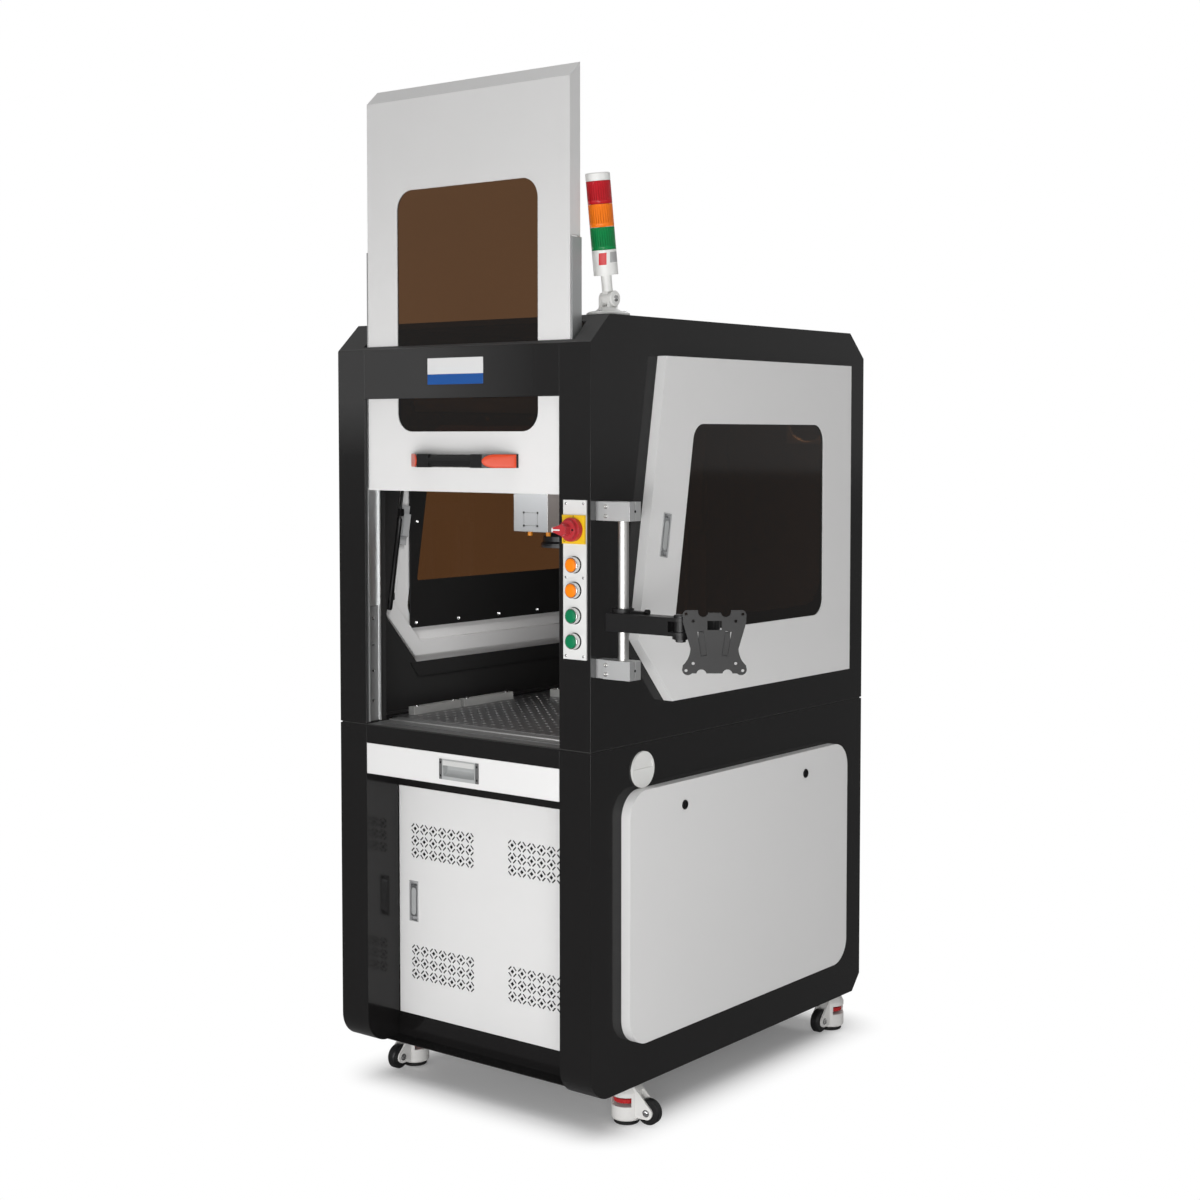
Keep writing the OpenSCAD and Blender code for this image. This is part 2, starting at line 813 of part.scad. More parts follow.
// Cross-section of a C-shaped slide member: width w, its web's outer face at u, lips at 0
module slide_section(w, u, lip) {
    translate([u - slide_wall, -w / 2]) square([slide_wall, w]);
    for (m = [0, 1]) mirror([0, m]) translate([0, w / 2 - slide_wall]) {
        square([u, slide_wall]);
        if (lip > 0) translate([0, -lip]) square([slide_wall, lip + slide_wall]);
    }
}

// Places a slide member on side s: u runs outwards from the door's rim plus a running gap
module slide_member(s, z, l) {
    edge = lift_w / 2 + s * lift_x;
    side(s) translate([edge, slide_c, z]) linear_extrude(l) translate([fit, 0]) children();
}

// Outer members, fixed in the cabinet
module slide_outers() {
    color("#b9bbbb") for (s = [-1, 1]) {
        slide_member(s, slide_z, slide_l) slide_section(slide_w, slide_outer_x - fit, 2);
    }
}

// Middle members, half way up
module slide_middles() {
    color("#b9bbbb") for (s = [-1, 1]) {
        slide_member(s, slide_z + lift_travel / 2, slide_l) {
            translate([slide_nest, 0]) slide_section(slide_w - 2 * slide_nest, slide_mid_u, 0);
        }
    }
}

// Inner members, on the door
module slide_inners() {
    w = slide_w - 4 * slide_nest;
    bar = slide_mid_u - slide_nest;
    color("#c9cbcb") for (s = [-1, 1]) {
        slide_member(s, lift_z, slide_l) {
            translate([slide_nest, -w / 2]) square([bar, w]);
            translate([-slide_in - fit, -7]) square([slide_in + fit + slide_nest + touch, 14]);
        }
    }
}

// ---------- Side doors ----------

// Folded door pan over the side opening, hinged at the rear
module side_door(s) {
    color("#d6d6d4") side(s) {
        for (z = side_hinge_z) difference() {
            union() {
                translate([side_pin_x, side_pin_y, z + knuckle_h + fit])
                    cylinder(r = knuckle_r, h = knuckle_h - fit);
                box(
                    [side_pin_x - 2, side_rear_y - touch, z + knuckle_h + fit],
                    [side_pin_x + 2, side_pin_y, z + 2 * knuckle_h]
                );
            }
            translate([side_pin_x, side_pin_y, z]) cylinder(r = pin_r + run, h = 3 * knuckle_h);
        }
        difference() {
            union() {
                difference() {
                    yz(half_w + fit, side_t - fit) polygon(side_pts);
                    yz(half_w, side_t - sheet) polygon(inset(side_pts, sheet));
                }
                latch_place() dish_block();
            }
            yz(half_w, side_t + 1) polygon(rounded(side_win, side_win_r));
            latch_place() dish_hollow();
        }
        latch_place() dish_pin();
        // Lock body and its rod behind the dish
        latch_place() translate([-9, -latch_dish - 8, -24]) cube([18, 8 + touch, 48]);
    }
}

// Turns a latch drawn facing +Y, upright, to its place on a side door's skin
module latch_place() {
    translate([half_w + side_t, latch_y, latch_z]) rotate([-atan(side_lean), 0, 0]) {
        rotate([0, 0, -90]) children();
    }
}

// Tinted pane with its clamping frame behind a side door's window
module side_glass(s) {
    color("#6b4a22", 0.6) side(s) {
        yz(half_w + side_t - sheet - glass_t, glass_t)
            polygon(rounded(inset(side_win, -glass_lap), side_win_r));
    }
}

// Recessed dish of a flush latch, drawn facing +Y: its outer block
module dish_block() {
    translate([-latch_w / 2, -latch_dish, -latch_h / 2]) cube([latch_w, latch_dish + 1.5, latch_h]);
}

// The hollow in that block
module dish_hollow() {
    translate([-latch_w / 2 + 2, -latch_dish + 2, -latch_h / 2 + 2])
        cube([latch_w - 4, latch_dish + 1, latch_h - 4]);
}

// The paddle's pin across the hollow, and the stop behind its free end
module dish_pin() {
    translate([-latch_w / 2 + 1, -3, paddle_h / 2]) rotate([0, 90, 0]) cylinder(r = 1.5, h = latch_w - 2);
    translate([-paddle_w / 2, -latch_dish + 1.9, -paddle_h / 2 + 4]) cube([paddle_w, 4.3, 5]);
}

// Sprung paddle of a flush latch, drawn facing +Y
module paddle() {
    difference() {
        union() {
            translate([-paddle_w / 2, -3.5, -paddle_h / 2]) cube([paddle_w, paddle_t, paddle_h]);
            translate([-paddle_w / 2, -3, paddle_h / 2]) rotate([0, 90, 0]) cylinder(r = 3.2, h = paddle_w);
        }
        translate([-paddle_w / 2 - 1, -3, paddle_h / 2])
            rotate([0, 90, 0]) cylinder(r = 1.5 + run, h = paddle_w + 2);
        translate([-2.5, -1, 12]) cube([5, 3, 9]);
    }
}

module side_latch(s) {
    color("#8f9293") side(s) latch_place() paddle();
}

// ---------- Lower front ----------

// One vent motif: four slots round a small diamond
module vent_motif() {
    rotate(45) square(6.5, center = true);
    for (a = [45, 135, 225, 315]) rotate(a) translate([9, 0]) square([2.8, 10], center = true);
}

// Perforated lower door, hinged at the right
module front_door() {
    knuckle_z = knuckle_h + fit;
    color("#e9e7e6") {
        for (z = front_hinge_z) difference() {
            union() {
                translate([front_pin_x, front_pin_y, z + knuckle_z])
                    cylinder(r = knuckle_r, h = knuckle_h - fit);
                box(
                    [front_pin_x - 2, front_pin_y, z + knuckle_z],
                    [front_pin_x + 2, recess_d + touch, z + 2 * knuckle_h]
                );
            }
            translate([front_pin_x, front_pin_y, z]) cylinder(r = pin_r + run, h = 3 * knuckle_h);
        }
        difference() {
            union() {
                xz(recess_d, sheet) difference() {
                    translate([-front_w / 2, front_z0 + fit]) square([front_w, front_z1 - front_z0 - fit]);
                    for (gx = [-vent_x, vent_x], gz = [-1, 1], i = [-3:3], j = [-1:1]) {
                        mid_z = (front_z0 + front_z1) / 2;
                        translate([gx + i * vent_pitch, mid_z + gz * 126 + j * vent_pitch]) {
                            vent_motif();
                        }
                    }
                }
                xz(recess_d + sheet - touch, front_t - sheet) difference() {
                    translate([-front_w / 2, front_z0 + fit]) square([front_w, front_z1 - front_z0 - fit]);
                    translate([-front_w / 2 + sheet, front_z0 + fit + sheet]) {
                        square([front_w - 2 * sheet, front_z1 - front_z0 - fit - 2 * sheet]);
                    }
                }
                front_latch_place() dish_block();
            }
            front_latch_place() dish_hollow();
        }
        front_latch_place() dish_pin();
    }
}

// Turns a latch drawn facing +Y to its place on the lower door
module front_latch_place() {
    translate([front_latch_x, recess_d, front_latch_z]) rotate([0, 0, 180]) children();
}

module front_latch() {
    color("#8f9293") front_latch_place() paddle();
}

// Drawer: front, tray and a hole for the cup pull
module drawer() {
    in = open_w / 2 - sheet - 1;
    color("#e9e7e6") difference() {
        union() {
            box([-open_w / 2 + 1, 0, drawer_z0 + fit], [open_w / 2 - 1, sheet, drawer_z1]);
            difference() {
                box([-in, sheet - touch, drawer_z0 + fit], [in, drawer_d, drawer_z1 - 6]);
                box([-in + 1.5, sheet + 14, drawer_z0 + fit + 1.5], [in - 1.5, drawer_d - 1.5, drawer_z1]);
                box([-in + 1.5, sheet, drawer_z0 + fit + 1.5], [in - 1.5, sheet + 12.5, drawer_z1]);
            }
        }
        box(
            [-pull_w / 2 + 6, -1, (drawer_z0 + drawer_z1 - pull_h) / 2 + 3],
            [pull_w / 2 - 6, sheet + 1, (drawer_z0 + drawer_z1 + pull_h) / 2 - 3]
        );
    }
}

// Cup pull let into the drawer's front
module drawer_pull() {
    mid = (drawer_z0 + drawer_z1) / 2;
    w = pull_w / 2;
    h = pull_h / 2;
    color("#9b9d9d") difference() {
        union() {
            box([-w, -2, mid - h], [w, 0, mid + h]);
            box([-w + 6 + fit, -1, mid - h + 3 + fit], [w - 6 - fit, sheet + 11, mid + h - 3 - fit]);
        }
        intersection() {
            box([-w + 10, -3, mid - h + 5], [w - 10, sheet + 9, mid + h - 5]);
            bar_x(-w, -6, mid + 4, 18, pull_w);
        }
    }
}

// ---------- Controls ----------

// Plate with the buttons' bezels and the isolator's square plate
module control_plate() {
    color("#e4e4e2") {
        difference() {
            union() {
                box([ctrl_x - ctrl_w / 2, -ctrl_t, ctrl_z0], [ctrl_x + ctrl_w / 2, 0, ctrl_z0 + ctrl_h]);
                box(
                    [ctrl_x - iso_w / 2, -ctrl_t - 4, iso_z - iso_w / 2],
                    [ctrl_x + iso_w / 2, -ctrl_t + touch, iso_z + iso_w / 2]
                );
            }
            for (z = button_z) bar_y(ctrl_x, -ctrl_t - 1, z, button_r - 1, ctrl_t + 2);
            bar_y(ctrl_x, -ctrl_t - 5, iso_z, stem_r + run, 10);
        }
        for (z = button_z) difference() {
            union() {
                bar_y(ctrl_x, -ctrl_t - bezel_h, z, bezel_r, bezel_h);
                bar_y(ctrl_x, -ctrl_t - 1, z, button_r - 1 - touch, ctrl_t + lift_y - 4);
            }
            bar_y(ctrl_x, -ctrl_t - bezel_h - 1, z, button_r + fit, bezel_h - 2);
            bar_y(ctrl_x, -ctrl_t - bezel_h - 1, z, stem_r + fit, 26);
        }
    }
}

module button(i) {
    color(i < 2 ? "#f08a24" : "#1f7d4f") {
        bar_y(ctrl_x, -ctrl_t - bezel_h - cap_out, button_z[i], button_r, cap_out + 3.6);
        bar_y(ctrl_x, -ctrl_t - bezel_h, button_z[i], stem_r, 14);
    }
}

// Rotary handle with its shaft through the post
module isolator_handle() {
    face = -ctrl_t - 4 - fit;
    color("#b32a31") {
        bar_y(ctrl_x, face - 10, iso_z, 22, 10);
        bar_y(ctrl_x, face - 18, iso_z, 18, 9);
        xz(face - iso_reach, 18) translate([ctrl_x, iso_z]) {
            polygon([[-18, 5], [-18, -5], [0, -11], [9, -6], [9, 6], [0, 11]]);
            translate([-19, 0]) circle(5);
        }
        bar_y(ctrl_x, face - 1, iso_z, stem_r, 26);
    }
}

// ---------- Monitor arm ----------

module pole() {
    color("#c4c6c6") {
        translate([pole_axis[0], pole_axis[1], clamp_z0 + 1])
            cylinder(r = pole_r, h = pole_span + clamp_h - 2);
    }
}

// Two blocks that hold the pole off the cabinet's side
module pole_clamps() {
    color("#c9cacb") for (z = [clamp_z0, clamp_z0 + pole_span]) difference() {
        union() {
            box(
                [half_w, pole_y - clamp_w / 2 + 5, z],
                [half_w + 21, pole_y + clamp_w / 2 - 5, z + clamp_h]
            );
            box(
                [half_w + 20, pole_y - clamp_w / 2, z],
                [half_w + clamp_l, pole_y + clamp_w / 2, z + clamp_h]
            );
        }
        translate([pole_axis[0], pole_axis[1], z - 1]) cylinder(r = pole_r + touch, h = clamp_h + 2);
        for (h = [9, clamp_h - 9]) bar_y(half_w + 27, pole_y - clamp_w, z + h, 2.5, clamp_w);
        box([pole_axis[0], pole_y - 1, z - 1], [half_w + clamp_l + 1, pole_y + 1, z + clamp_h + 1]);
    }
}

// Inner arm: clamp block and collar round the pole, square tube and a fork at the elbow
module arm_inner() {
    s = arm_s;
    y = elbow[1];
    lug = pole_axis + [20, -4];
    color("#262526") difference() {
        union() {
            translate([0, 0, arm_z - s / 2]) linear_extrude(s) {
                translate([pole_axis[0] - 20, y - s / 2]) square([42, pole_y - y + s / 2 + pole_r + 6]);
                translate([pole_axis[0] + 20, y - s / 2]) square([arm_l1 - 37, s]);
            }
            for (z = [arm_z - s / 2, arm_z + s / 2 - ear_t]) translate([0, 0, z]) linear_extrude(ear_t) {
                translate([elbow[0] - 22, y - s / 2]) square([22, s]);
                translate(elbow) circle(s / 2);
            }
            translate([elbow[0], elbow[1], arm_z - s / 2 - 5.5]) cylinder(r = 15, h = 6);
            translate([elbow[0], elbow[1], arm_z - s / 2]) cylinder(r = pivot_r, h = s);
            // Collar, clamping lug and its bolt head on top of the block
            translate([pole_axis[0], pole_axis[1], arm_z + s / 2 - touch]) cylinder(r = 20, h = 8);
            translate([lug[0] - 4, lug[1], arm_z + s / 2 - touch]) cube([34, 14, 4.5]);
            bar_x(lug[0] + 29, lug[1] + 7, arm_z + s / 2 + 3.5, 5, 7);
        }
        translate([pole_axis[0], pole_axis[1], arm_z - s]) cylinder(r = pole_r + run, h = 2 * s);
        box(
            [pole_axis[0] + 28, y - s / 2 + 3, arm_z - s / 2 + 3],
            [pole_axis[0] + arm_l1 - 26, y + s / 2 - 3, arm_z + s / 2 - 3]
        );
    }
}

// Outer arm: a flat bar with a bore at each end
module arm_outer() {
    color("#262526") translate([0, 0, arm_z - tongue_t / 2]) difference() {
        linear_extrude(tongue_t) stadium(elbow, head_axis, 13);
        for (p = [elbow, head_axis]) {
            translate([p[0], p[1], -1]) cylinder(r = pivot_r + run, h = tongue_t + 2);
        }
    }
}

// Draws in the head's own frame: the monitor plate faces -Y
module head_place() {
    translate([head_axis[0], head_axis[1], plate_z]) rotate([0, 0, plate_turn]) children();
}

// Swivel head: shaft up through the outer arm, hub and the tilt knuckle
module arm_head() {
    hub = plate_drop - tongue_t / 2 - fit;
    color("#262526") head_place() {
        cylinder(r = pivot_r, h = plate_drop + tongue_t / 2 + 3);
        translate([0, 0, -14]) cylinder(r = 15, h = hub + 14);
        translate([0, 0, plate_drop + tongue_t / 2 + fit]) cylinder(r = 10, h = 6);
        difference() {
            union() {
                bar_x(-9, tilt_y, 0, tilt_r, 18);
                box([-9, tilt_y, -tilt_r], [9, -8, tilt_r]);
            }
            bar_x(-10, tilt_y, 0, 4 + run, 20);
        }
    }
}

// Outline of the monitor plate in X and Z: four lobes, a waist, and a hump above and below
module monitor_outline() {
    lobe = monitor_large / 2 - 2;
    waist = 42.5;
    drop = 11;
    difference() {
        union() {
            polygon([
                [-56, 48], [-56, 36], [-waist, -drop], [waist, -drop],
                [56, 36], [56, 48], [47, 57], [-47, 57]
            ]);
            translate([-waist, -55]) square([2 * waist, 60]);
            difference() {
                translate([-56, -lobe]) square([112, lobe - drop]);
                for (m = [-1, 1]) translate([m * (waist + 40), -drop]) circle(40, $fn = 64);
            }
            for (m = [-1, 1]) {
                translate([m * 47, lobe - 0.5]) circle(9.5);
                translate([m * 47, -lobe]) circle(10);
            }
        }
        for (m = [-1, 1]) {
            translate([m * 20, 54]) circle(9);
            translate([m * 20 - 9, 54]) square([18, 10]);
            translate([m * 23, -57]) circle(9);
            translate([m * 23 - 9, -70]) square([18, 13]);
        }
        translate([-20, 52.5]) square([40, 10]);
    }
}

// Monitor plate with its two hole squares, slots, backing block and the ears of the tilt hinge
module monitor_plate() {
    ear = 5 - fit;
    back = 11 - plate_reach;
    color("#2e2d2e") head_place() {
        xz(-plate_reach, plate_t) difference() {
            monitor_outline();
            for (d = [monitor_large / 2, monitor_small / 2], x = [-1, 1], z = [-1, 1]) {
                translate([x * d, z * d]) circle(monitor_hole_r);
            }
            for (m = [-1, 1]) {
                translate([m * 21.5, -2.3]) rotate(m * -8.6) square([10.6, 43.5], center = true);
            }
            translate([0, 30]) square([25, 16], center = true);
        }
        box([-28, plate_t - plate_reach - touch, -30], [28, back, 18]);
        for (m = [-1, 1]) {
            bar_x(m > 0 ? 9 + fit : -14, tilt_y, 0, tilt_r, ear);
            box([m > 0 ? 9 + fit : -14, back - touch, -tilt_r], [m > 0 ? 14 : -9 - fit, tilt_y, tilt_r]);
        }
        bar_x(-14 + touch, tilt_y, 0, 4, 28 - 2 * touch);
    }
}

// ---------- Signal tower ----------

module tower_place() {
    translate([tower_axis[0], tower_axis[1], roof_z + tower_pivot]) rotate([tower_lean, 0, 0]) children();
}

// Base disc and the two cheeks of the folding joint
module tower_base() {
    color("#eeeeec") translate([tower_axis[0], tower_axis[1], roof_z]) {
        difference() {
            union() {
                rotate_extrude() polygon([
                    [0, 0], [41, 0], [41, 4], [36, 7], [24, 9], [17, 15], [13, 17], [0, 17]
                ]);
                for (m = [-1, 1]) side(m) {
                    bar_x(6.3, 0, tower_pivot, 12, 6.7);
                    box([6.3, -12, 4], [13, 12, tower_pivot]);
                }
            }
            bar_x(-6.3, 0, tower_pivot, 13.5, 12.6);
        }
        bar_x(-7, 0, tower_pivot, 4, 14);
        bar_x(13, 0, tower_pivot, 5, 5);
    }
}

// Stem, lamp socket and cap
module tower_body() {
    color("#eeeeec") tower_place() {
        difference() {
            union() {
                bar_x(-6, 0, 0, 12, 12);
                translate([-6, -8, 0]) cube([12, 16, 20]);
                translate([0, 0, 14]) cylinder(r = 10, h = tower_stem - 14);
                translate([0, 0, tower_stem]) cylinder(r = tower_r, h = tower_l * 0.25);
                translate([0, 0, tower_stem + tower_l * 0.25 - touch]) cylinder(r = 6, h = tower_l * 0.69);
                translate([0, 0, tower_stem + tower_l * 0.93]) cylinder(r = tower_r, h = tower_l * 0.07);
            }
            bar_x(-7, 0, 0, 4 + run, 14);
        }
    }
}

// Red, amber and green lens rings, top to bottom
module tower_lenses() {
    h = tower_l * 0.68 / 3;
    hues = ["#1b7d3f", "#e2782a", "#c22a31"];
    tower_place() for (i = [0:2]) color(hues[i]) {
        translate([0, 0, tower_stem + tower_l * 0.25 + i * h]) difference() {
            cylinder(r = tower_r - 0.5, h = h - fit);
            translate([0, 0, -1]) cylinder(r = tower_r - 3.5, h = h + 2);
        }
    }
}

// ---------- Casters ----------

module caster_place(i) {
    translate([CASTERS[i][0], CASTERS[i][1], 0]) rotate([0, 0, CASTERS[i][2]]) children();
}

// Levelling foot: pad, spindle and knurled thumb wheel in one piece
module foot(i) {
    color("#1c1c1d") caster_place(i) {
        rotate_extrude() polygon([
            [0, 0], [pad_d / 2 - 2, 0], [pad_d / 2, 2], [pad_d / 2, 6], [pad_d / 2 - 5, 9], [9, 11],
            [spindle_r, 11], [spindle_r, caster_top - 16], [0, caster_top - 16]
        ]);
    }
    color("#c4232a") caster_place(i) translate([0, 0, thumb_z]) difference() {
        cylinder(r = thumb_r, h = thumb_h);
        for (a = [0:20:340]) rotate(a) translate([thumb_r + 0.8, 0, -1]) cylinder(r = 1.8, h = thumb_h + 2);
    }
}

// Cast body: drum with a window for the thumb wheel and two cheeks that hold the wheel
module caster(i) {
    cheek = wheel_w / 2 + 1;
    cheek_t = 4;
    color("#dedcd8") caster_place(i) difference() {
        union() {
            rotate_extrude() polygon([
                [0, 9], [drum_r - 2, 9], [drum_r, 12], [drum_r, caster_top - 20], [20, caster_top - fit],
                [0, caster_top - fit]
            ]);
            for (m = [-1, 1]) xz(m > 0 ? cheek : -cheek - cheek_t, cheek_t) {
                translate([trail, axle_z]) circle(13);
                polygon([
                    [6, 15], [trail - 2, axle_z - 12.8], [trail + 11.5, axle_z + 6], [24, caster_top - 8],
                    [6, caster_top - 8]
                ]);
            }
            xz(-cheek - touch, 2 * cheek + 2 * touch) polygon([
                [22, caster_top - 14], [28, caster_top - 19], [32, caster_top - 15.5], [24, caster_top - 8]
            ]);
        }
        translate([0, 0, 8]) cylinder(r = spindle_r + run, h = caster_top);
        box([-22, -drum_r - 1, thumb_z - 6], [22, drum_r + 1, thumb_z + thumb_h + 4]);
        translate([0, 0, thumb_z - 2]) cylinder(r = thumb_r + 0.5, h = thumb_h + 4);
        bar_y(trail, -cheek, axle_z, wheel_d / 2 + 2, 2 * cheek);
        translate([0, 0, 1]) cylinder(r = pad_d / 2 + 1, h = 13);
    }
    color("#dedcd8") caster_place(i) bar_y(trail, -cheek - touch, axle_z, 4, 2 * cheek + 2 * touch);
}

module wheel(i) {
    color("#1a1a1b") caster_place(i) translate([trail, 0, axle_z]) rotate([90, 0, 0]) difference() {
        translate([0, 0, -wheel_w / 2]) rotate_extrude() polygon([
            [0, 0], [wheel_d / 2 - 2.5, 0], [wheel_d / 2, 3], [wheel_d / 2, wheel_w - 3],
            [wheel_d / 2 - 2.5, wheel_w], [0, wheel_w]
        ]);
        translate([0, 0, -wheel_w]) cylinder(r = 4 + run, h = 2 * wheel_w);
    }
}

// ---------- Work area ----------

module work_table() {
    x0 = -(table_cols - 1) * table_pitch / 2;
    y0 = recess_d + (table_d - (table_rows - 1) * table_pitch) / 2;
    color("#8d8f90") translate([0, 0, deck_hi]) linear_extrude(table_t) difference() {
        translate([-table_w / 2, recess_d]) square([table_w, table_d]);
        for (i = [0:table_cols - 1], j = [0:table_rows - 1]) {
            translate([x0 + i * table_pitch, y0 + j * table_pitch]) circle(table_hole_d / 2, $fn = 16);
        }
    }
}

// Three stop bars that square a workpiece on the table
module table_fences() {
    x = -table_w / 2 + 12;
    t = fence_s;
    color("#c6c7c6") {
        box([x, recess_d + table_d * 0.062, table_z], [x + t, recess_d + table_d * 0.3, table_z + t]);
        box([x, recess_d + table_d * 0.32, table_z], [x + t, recess_d + table_d * 0.585, table_z + t]);
        translate([x + table_w * 0.1, recess_d + table_d * 0.72, table_z]) cube([table_w * 0.556, t, t]);
    }
}

// Upright channel with two guide rails and a screw, on a foot plate
module column() {
    y = column_y;
    w = column_w / 2;
    color("#3a3b3d") {
        box([-w - 20, y + 6, deck_hi], [w + 20, y + column_d + 30, deck_hi + 12]);
        difference() {
            box([-w, y + 12, deck_hi + 12], [w, y + column_d, column_top]);
            box([-w + 8, y + 11, deck_hi + 20], [w - 8, y + column_d - 8, column_top - 12]);
        }
        for (s = [-1, 1]) side(s) box([w - 16, y, deck_hi + 30], [w - 1, y + 12, column_top - 20]);
        translate([0, y + 34, deck_hi + 20]) cylinder(r = 8, h = column_top - deck_hi - 32);
        translate([-30, y + 12, column_top]) cube([60, 60, 70]);
    }
}

// Carriage plate on the rails with the laser's beam housing, at the rest height
module carriage() {
    y = column_y;
    w = column_w / 2;
    color("#2b2b2d") {
        difference() {
            union() {
                box([-w, y - plate_gap, beam_z - 45], [w, y - fit, beam_z + 105]);
                for (s = [-1, 1]) side(s) {
                    box([w - 19.5, y - fit - touch, beam_z - 30], [w - 16.3, y + 8, beam_z + 90]);
                    box([w - 0.7, y - fit - touch, beam_z - 30], [w + 4, y + 8, beam_z + 90]);
                }
                box([-16, y - fit - touch, beam_z + 20], [16, y + 54, beam_z + 46]);
            }
            translate([0, y + 34, beam_z]) cylinder(r = 8 + run, h = 60);
        }
        box(
            [-beam_w / 2, lens_y + head_s / 2, beam_z],
            [beam_w / 2, y - plate_gap + touch, beam_z + beam_h]
        );
    }
}

// Mirror block with the lens below and the pilot-light bracket in front
module scan_head() {
    color("#9b9d9f") {
        box([-head_s / 2, lens_y - head_s / 2, head_z], [head_s / 2, lens_y + head_s / 2, head_z + head_h]);
        difference() {
            box(
                [-pilot_w / 2, lens_y - head_s / 2 - 50, head_z + 4],
                [pilot_w / 2, lens_y - head_s / 2 + touch, head_z + head_h + 10]
            );
            box(
                [-pilot_w / 2 + 2, lens_y - head_s / 2 - 48, head_z + 3],
                [pilot_w / 2 - 2, lens_y - head_s / 2, head_z + head_h + 8]
            );
        }
        for (x = [-18, 30]) translate([x, lens_y - head_s / 2 - 30, head_z - 5]) {
            cylinder(r = 5, h = 24);
            box([-7, -5, 10], [7, 30 + touch, 20]);
        }
        translate([0, lens_y, lens_z]) rotate_extrude() polygon([
            [0, 3], [lens_d / 2 - 7, 1.5], [lens_d / 2 - 5, 0], [lens_d / 2, 0], [lens_d / 2, 8],
            [lens_d / 2 - 4, 12], [lens_d / 2 - 4, 22],
            [lens_d / 2 - 14, lens_h + touch], [0, lens_h + touch]
        ]);
    }
}

// Laser source and control computer on the floor pan
module electronics() {
    y = recess_d + cab_d * 0.123;
    laser = [cab_w * 0.383, cab_d * 0.37, 110];
    unit = [cab_w * 0.276, cab_d * 0.41, 280];
    color("#c8c9ca") translate([-half_w + 60, y, base_z + sheet]) difference() {
        cube(laser);
        translate([3, 3, 3]) cube([laser[0] - 6, laser[1], laser[2] - 6]);
    }
    color("#3a3b3d") translate([half_w - 70 - unit[0], y, base_z + sheet]) difference() {
        cube(unit);
        translate([2, 2, 2]) cube(unit - [4, 4, 4]);
        for (i = [0:9]) translate([20, -1, 30 + i * 14]) cube([unit[0] - 40, 4, 6]);
    }
}

place() base_pan();
place() lower_side(-1);  // lower_left
place() lower_side(1);  // lower_right
place() drawer_housing();
place() deck();
place() upper_side(-1);  // upper_left
place() upper_side(1);  // upper_right
place() top_cover();
place() back_panels();
place() duct_spigot();
place() service_panels();
place() cable_cap();
place() work_table();
place() table_fences();
place() control_plate();
place() isolator_handle();
place() button(0);  // button_1
place() button(1);  // button_2
place() button(2);  // button_3
place() button(3);  // button_4
place() pole();
place() pole_clamps();
place() arm_inner();
place() arm_outer();
place() arm_head();
place() monitor_plate();
place() lift_door();
place() lift_glass();
place() lift_handle();
place() slide_outers();
place() slide_middles();
place() slide_inners();
place() side_door(1);  // right_door
place() side_glass(1);  // right_glass
place() side_door(-1);  // left_door
place() side_glass(-1);  // left_glass
place() side_latch(1);  // right_latch
place() side_latch(-1);  // left_latch
place() front_door();
place() front_latch();
place() drawer();
place() drawer_pull();
place() tower_base();
place() tower_body();
place() tower_lenses();
place() foot(0);  // foot_1
place() foot(1);  // foot_2
place() foot(2);  // foot_3
place() foot(3);  // foot_4
place() caster(0);  // caster_1
place() caster(1);  // caster_2
place() caster(2);  // caster_3
place() caster(3);  // caster_4
place() wheel(0);  // wheel_1
place() wheel(1);  // wheel_2
place() wheel(2);  // wheel_3
place() wheel(3);  // wheel_4
place() column();
place() carriage();
place() scan_head();
place() electronics();
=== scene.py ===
import json
import logging
import math
from dataclasses import dataclass, field, replace
from enum import Enum
from functools import cached_property

import bpy
import numpy as np
from mathutils import Matrix, Vector

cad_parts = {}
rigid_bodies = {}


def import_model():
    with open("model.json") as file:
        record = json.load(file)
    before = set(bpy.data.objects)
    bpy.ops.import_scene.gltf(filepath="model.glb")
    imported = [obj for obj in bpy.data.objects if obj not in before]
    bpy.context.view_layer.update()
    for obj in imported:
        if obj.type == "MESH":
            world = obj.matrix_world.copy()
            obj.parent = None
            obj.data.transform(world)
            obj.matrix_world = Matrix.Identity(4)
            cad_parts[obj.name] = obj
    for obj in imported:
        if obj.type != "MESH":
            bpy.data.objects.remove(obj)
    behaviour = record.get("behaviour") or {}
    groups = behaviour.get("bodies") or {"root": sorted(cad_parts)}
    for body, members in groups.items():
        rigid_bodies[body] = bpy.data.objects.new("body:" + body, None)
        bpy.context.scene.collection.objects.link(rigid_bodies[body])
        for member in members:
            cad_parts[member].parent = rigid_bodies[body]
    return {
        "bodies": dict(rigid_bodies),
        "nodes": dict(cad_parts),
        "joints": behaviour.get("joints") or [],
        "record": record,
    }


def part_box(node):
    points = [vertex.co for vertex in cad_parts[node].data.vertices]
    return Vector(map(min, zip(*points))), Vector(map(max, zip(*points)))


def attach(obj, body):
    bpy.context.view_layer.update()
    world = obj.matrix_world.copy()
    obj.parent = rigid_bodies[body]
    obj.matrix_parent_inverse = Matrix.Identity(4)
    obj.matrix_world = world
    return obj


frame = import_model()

log = logging.getLogger("laser_engraver")

Rgb = tuple[float, float, float]
Vec = tuple[float, float, float]
Shape = tuple[np.ndarray, list]
Pair = tuple[float, float]
Row = tuple[float, ...]
Profile = tuple[Pair, ...]
MM = 0.001


# ---------------------------------------------------------------- finishes


class Axis(Enum):
    """Axis of the frame, by its place in a point."""

    X = 0
    Y = 1
    Z = 2


class Grain(Enum):
    """Kinds of fine relief that a finish can have."""

    POWDER_COAT = "powder_coat"
    BRUSHED = "brushed"
    CAST = "cast"
    SPANGLE = "spangle"
    MOULDED = "moulded"
    SMOOTH = "smooth"


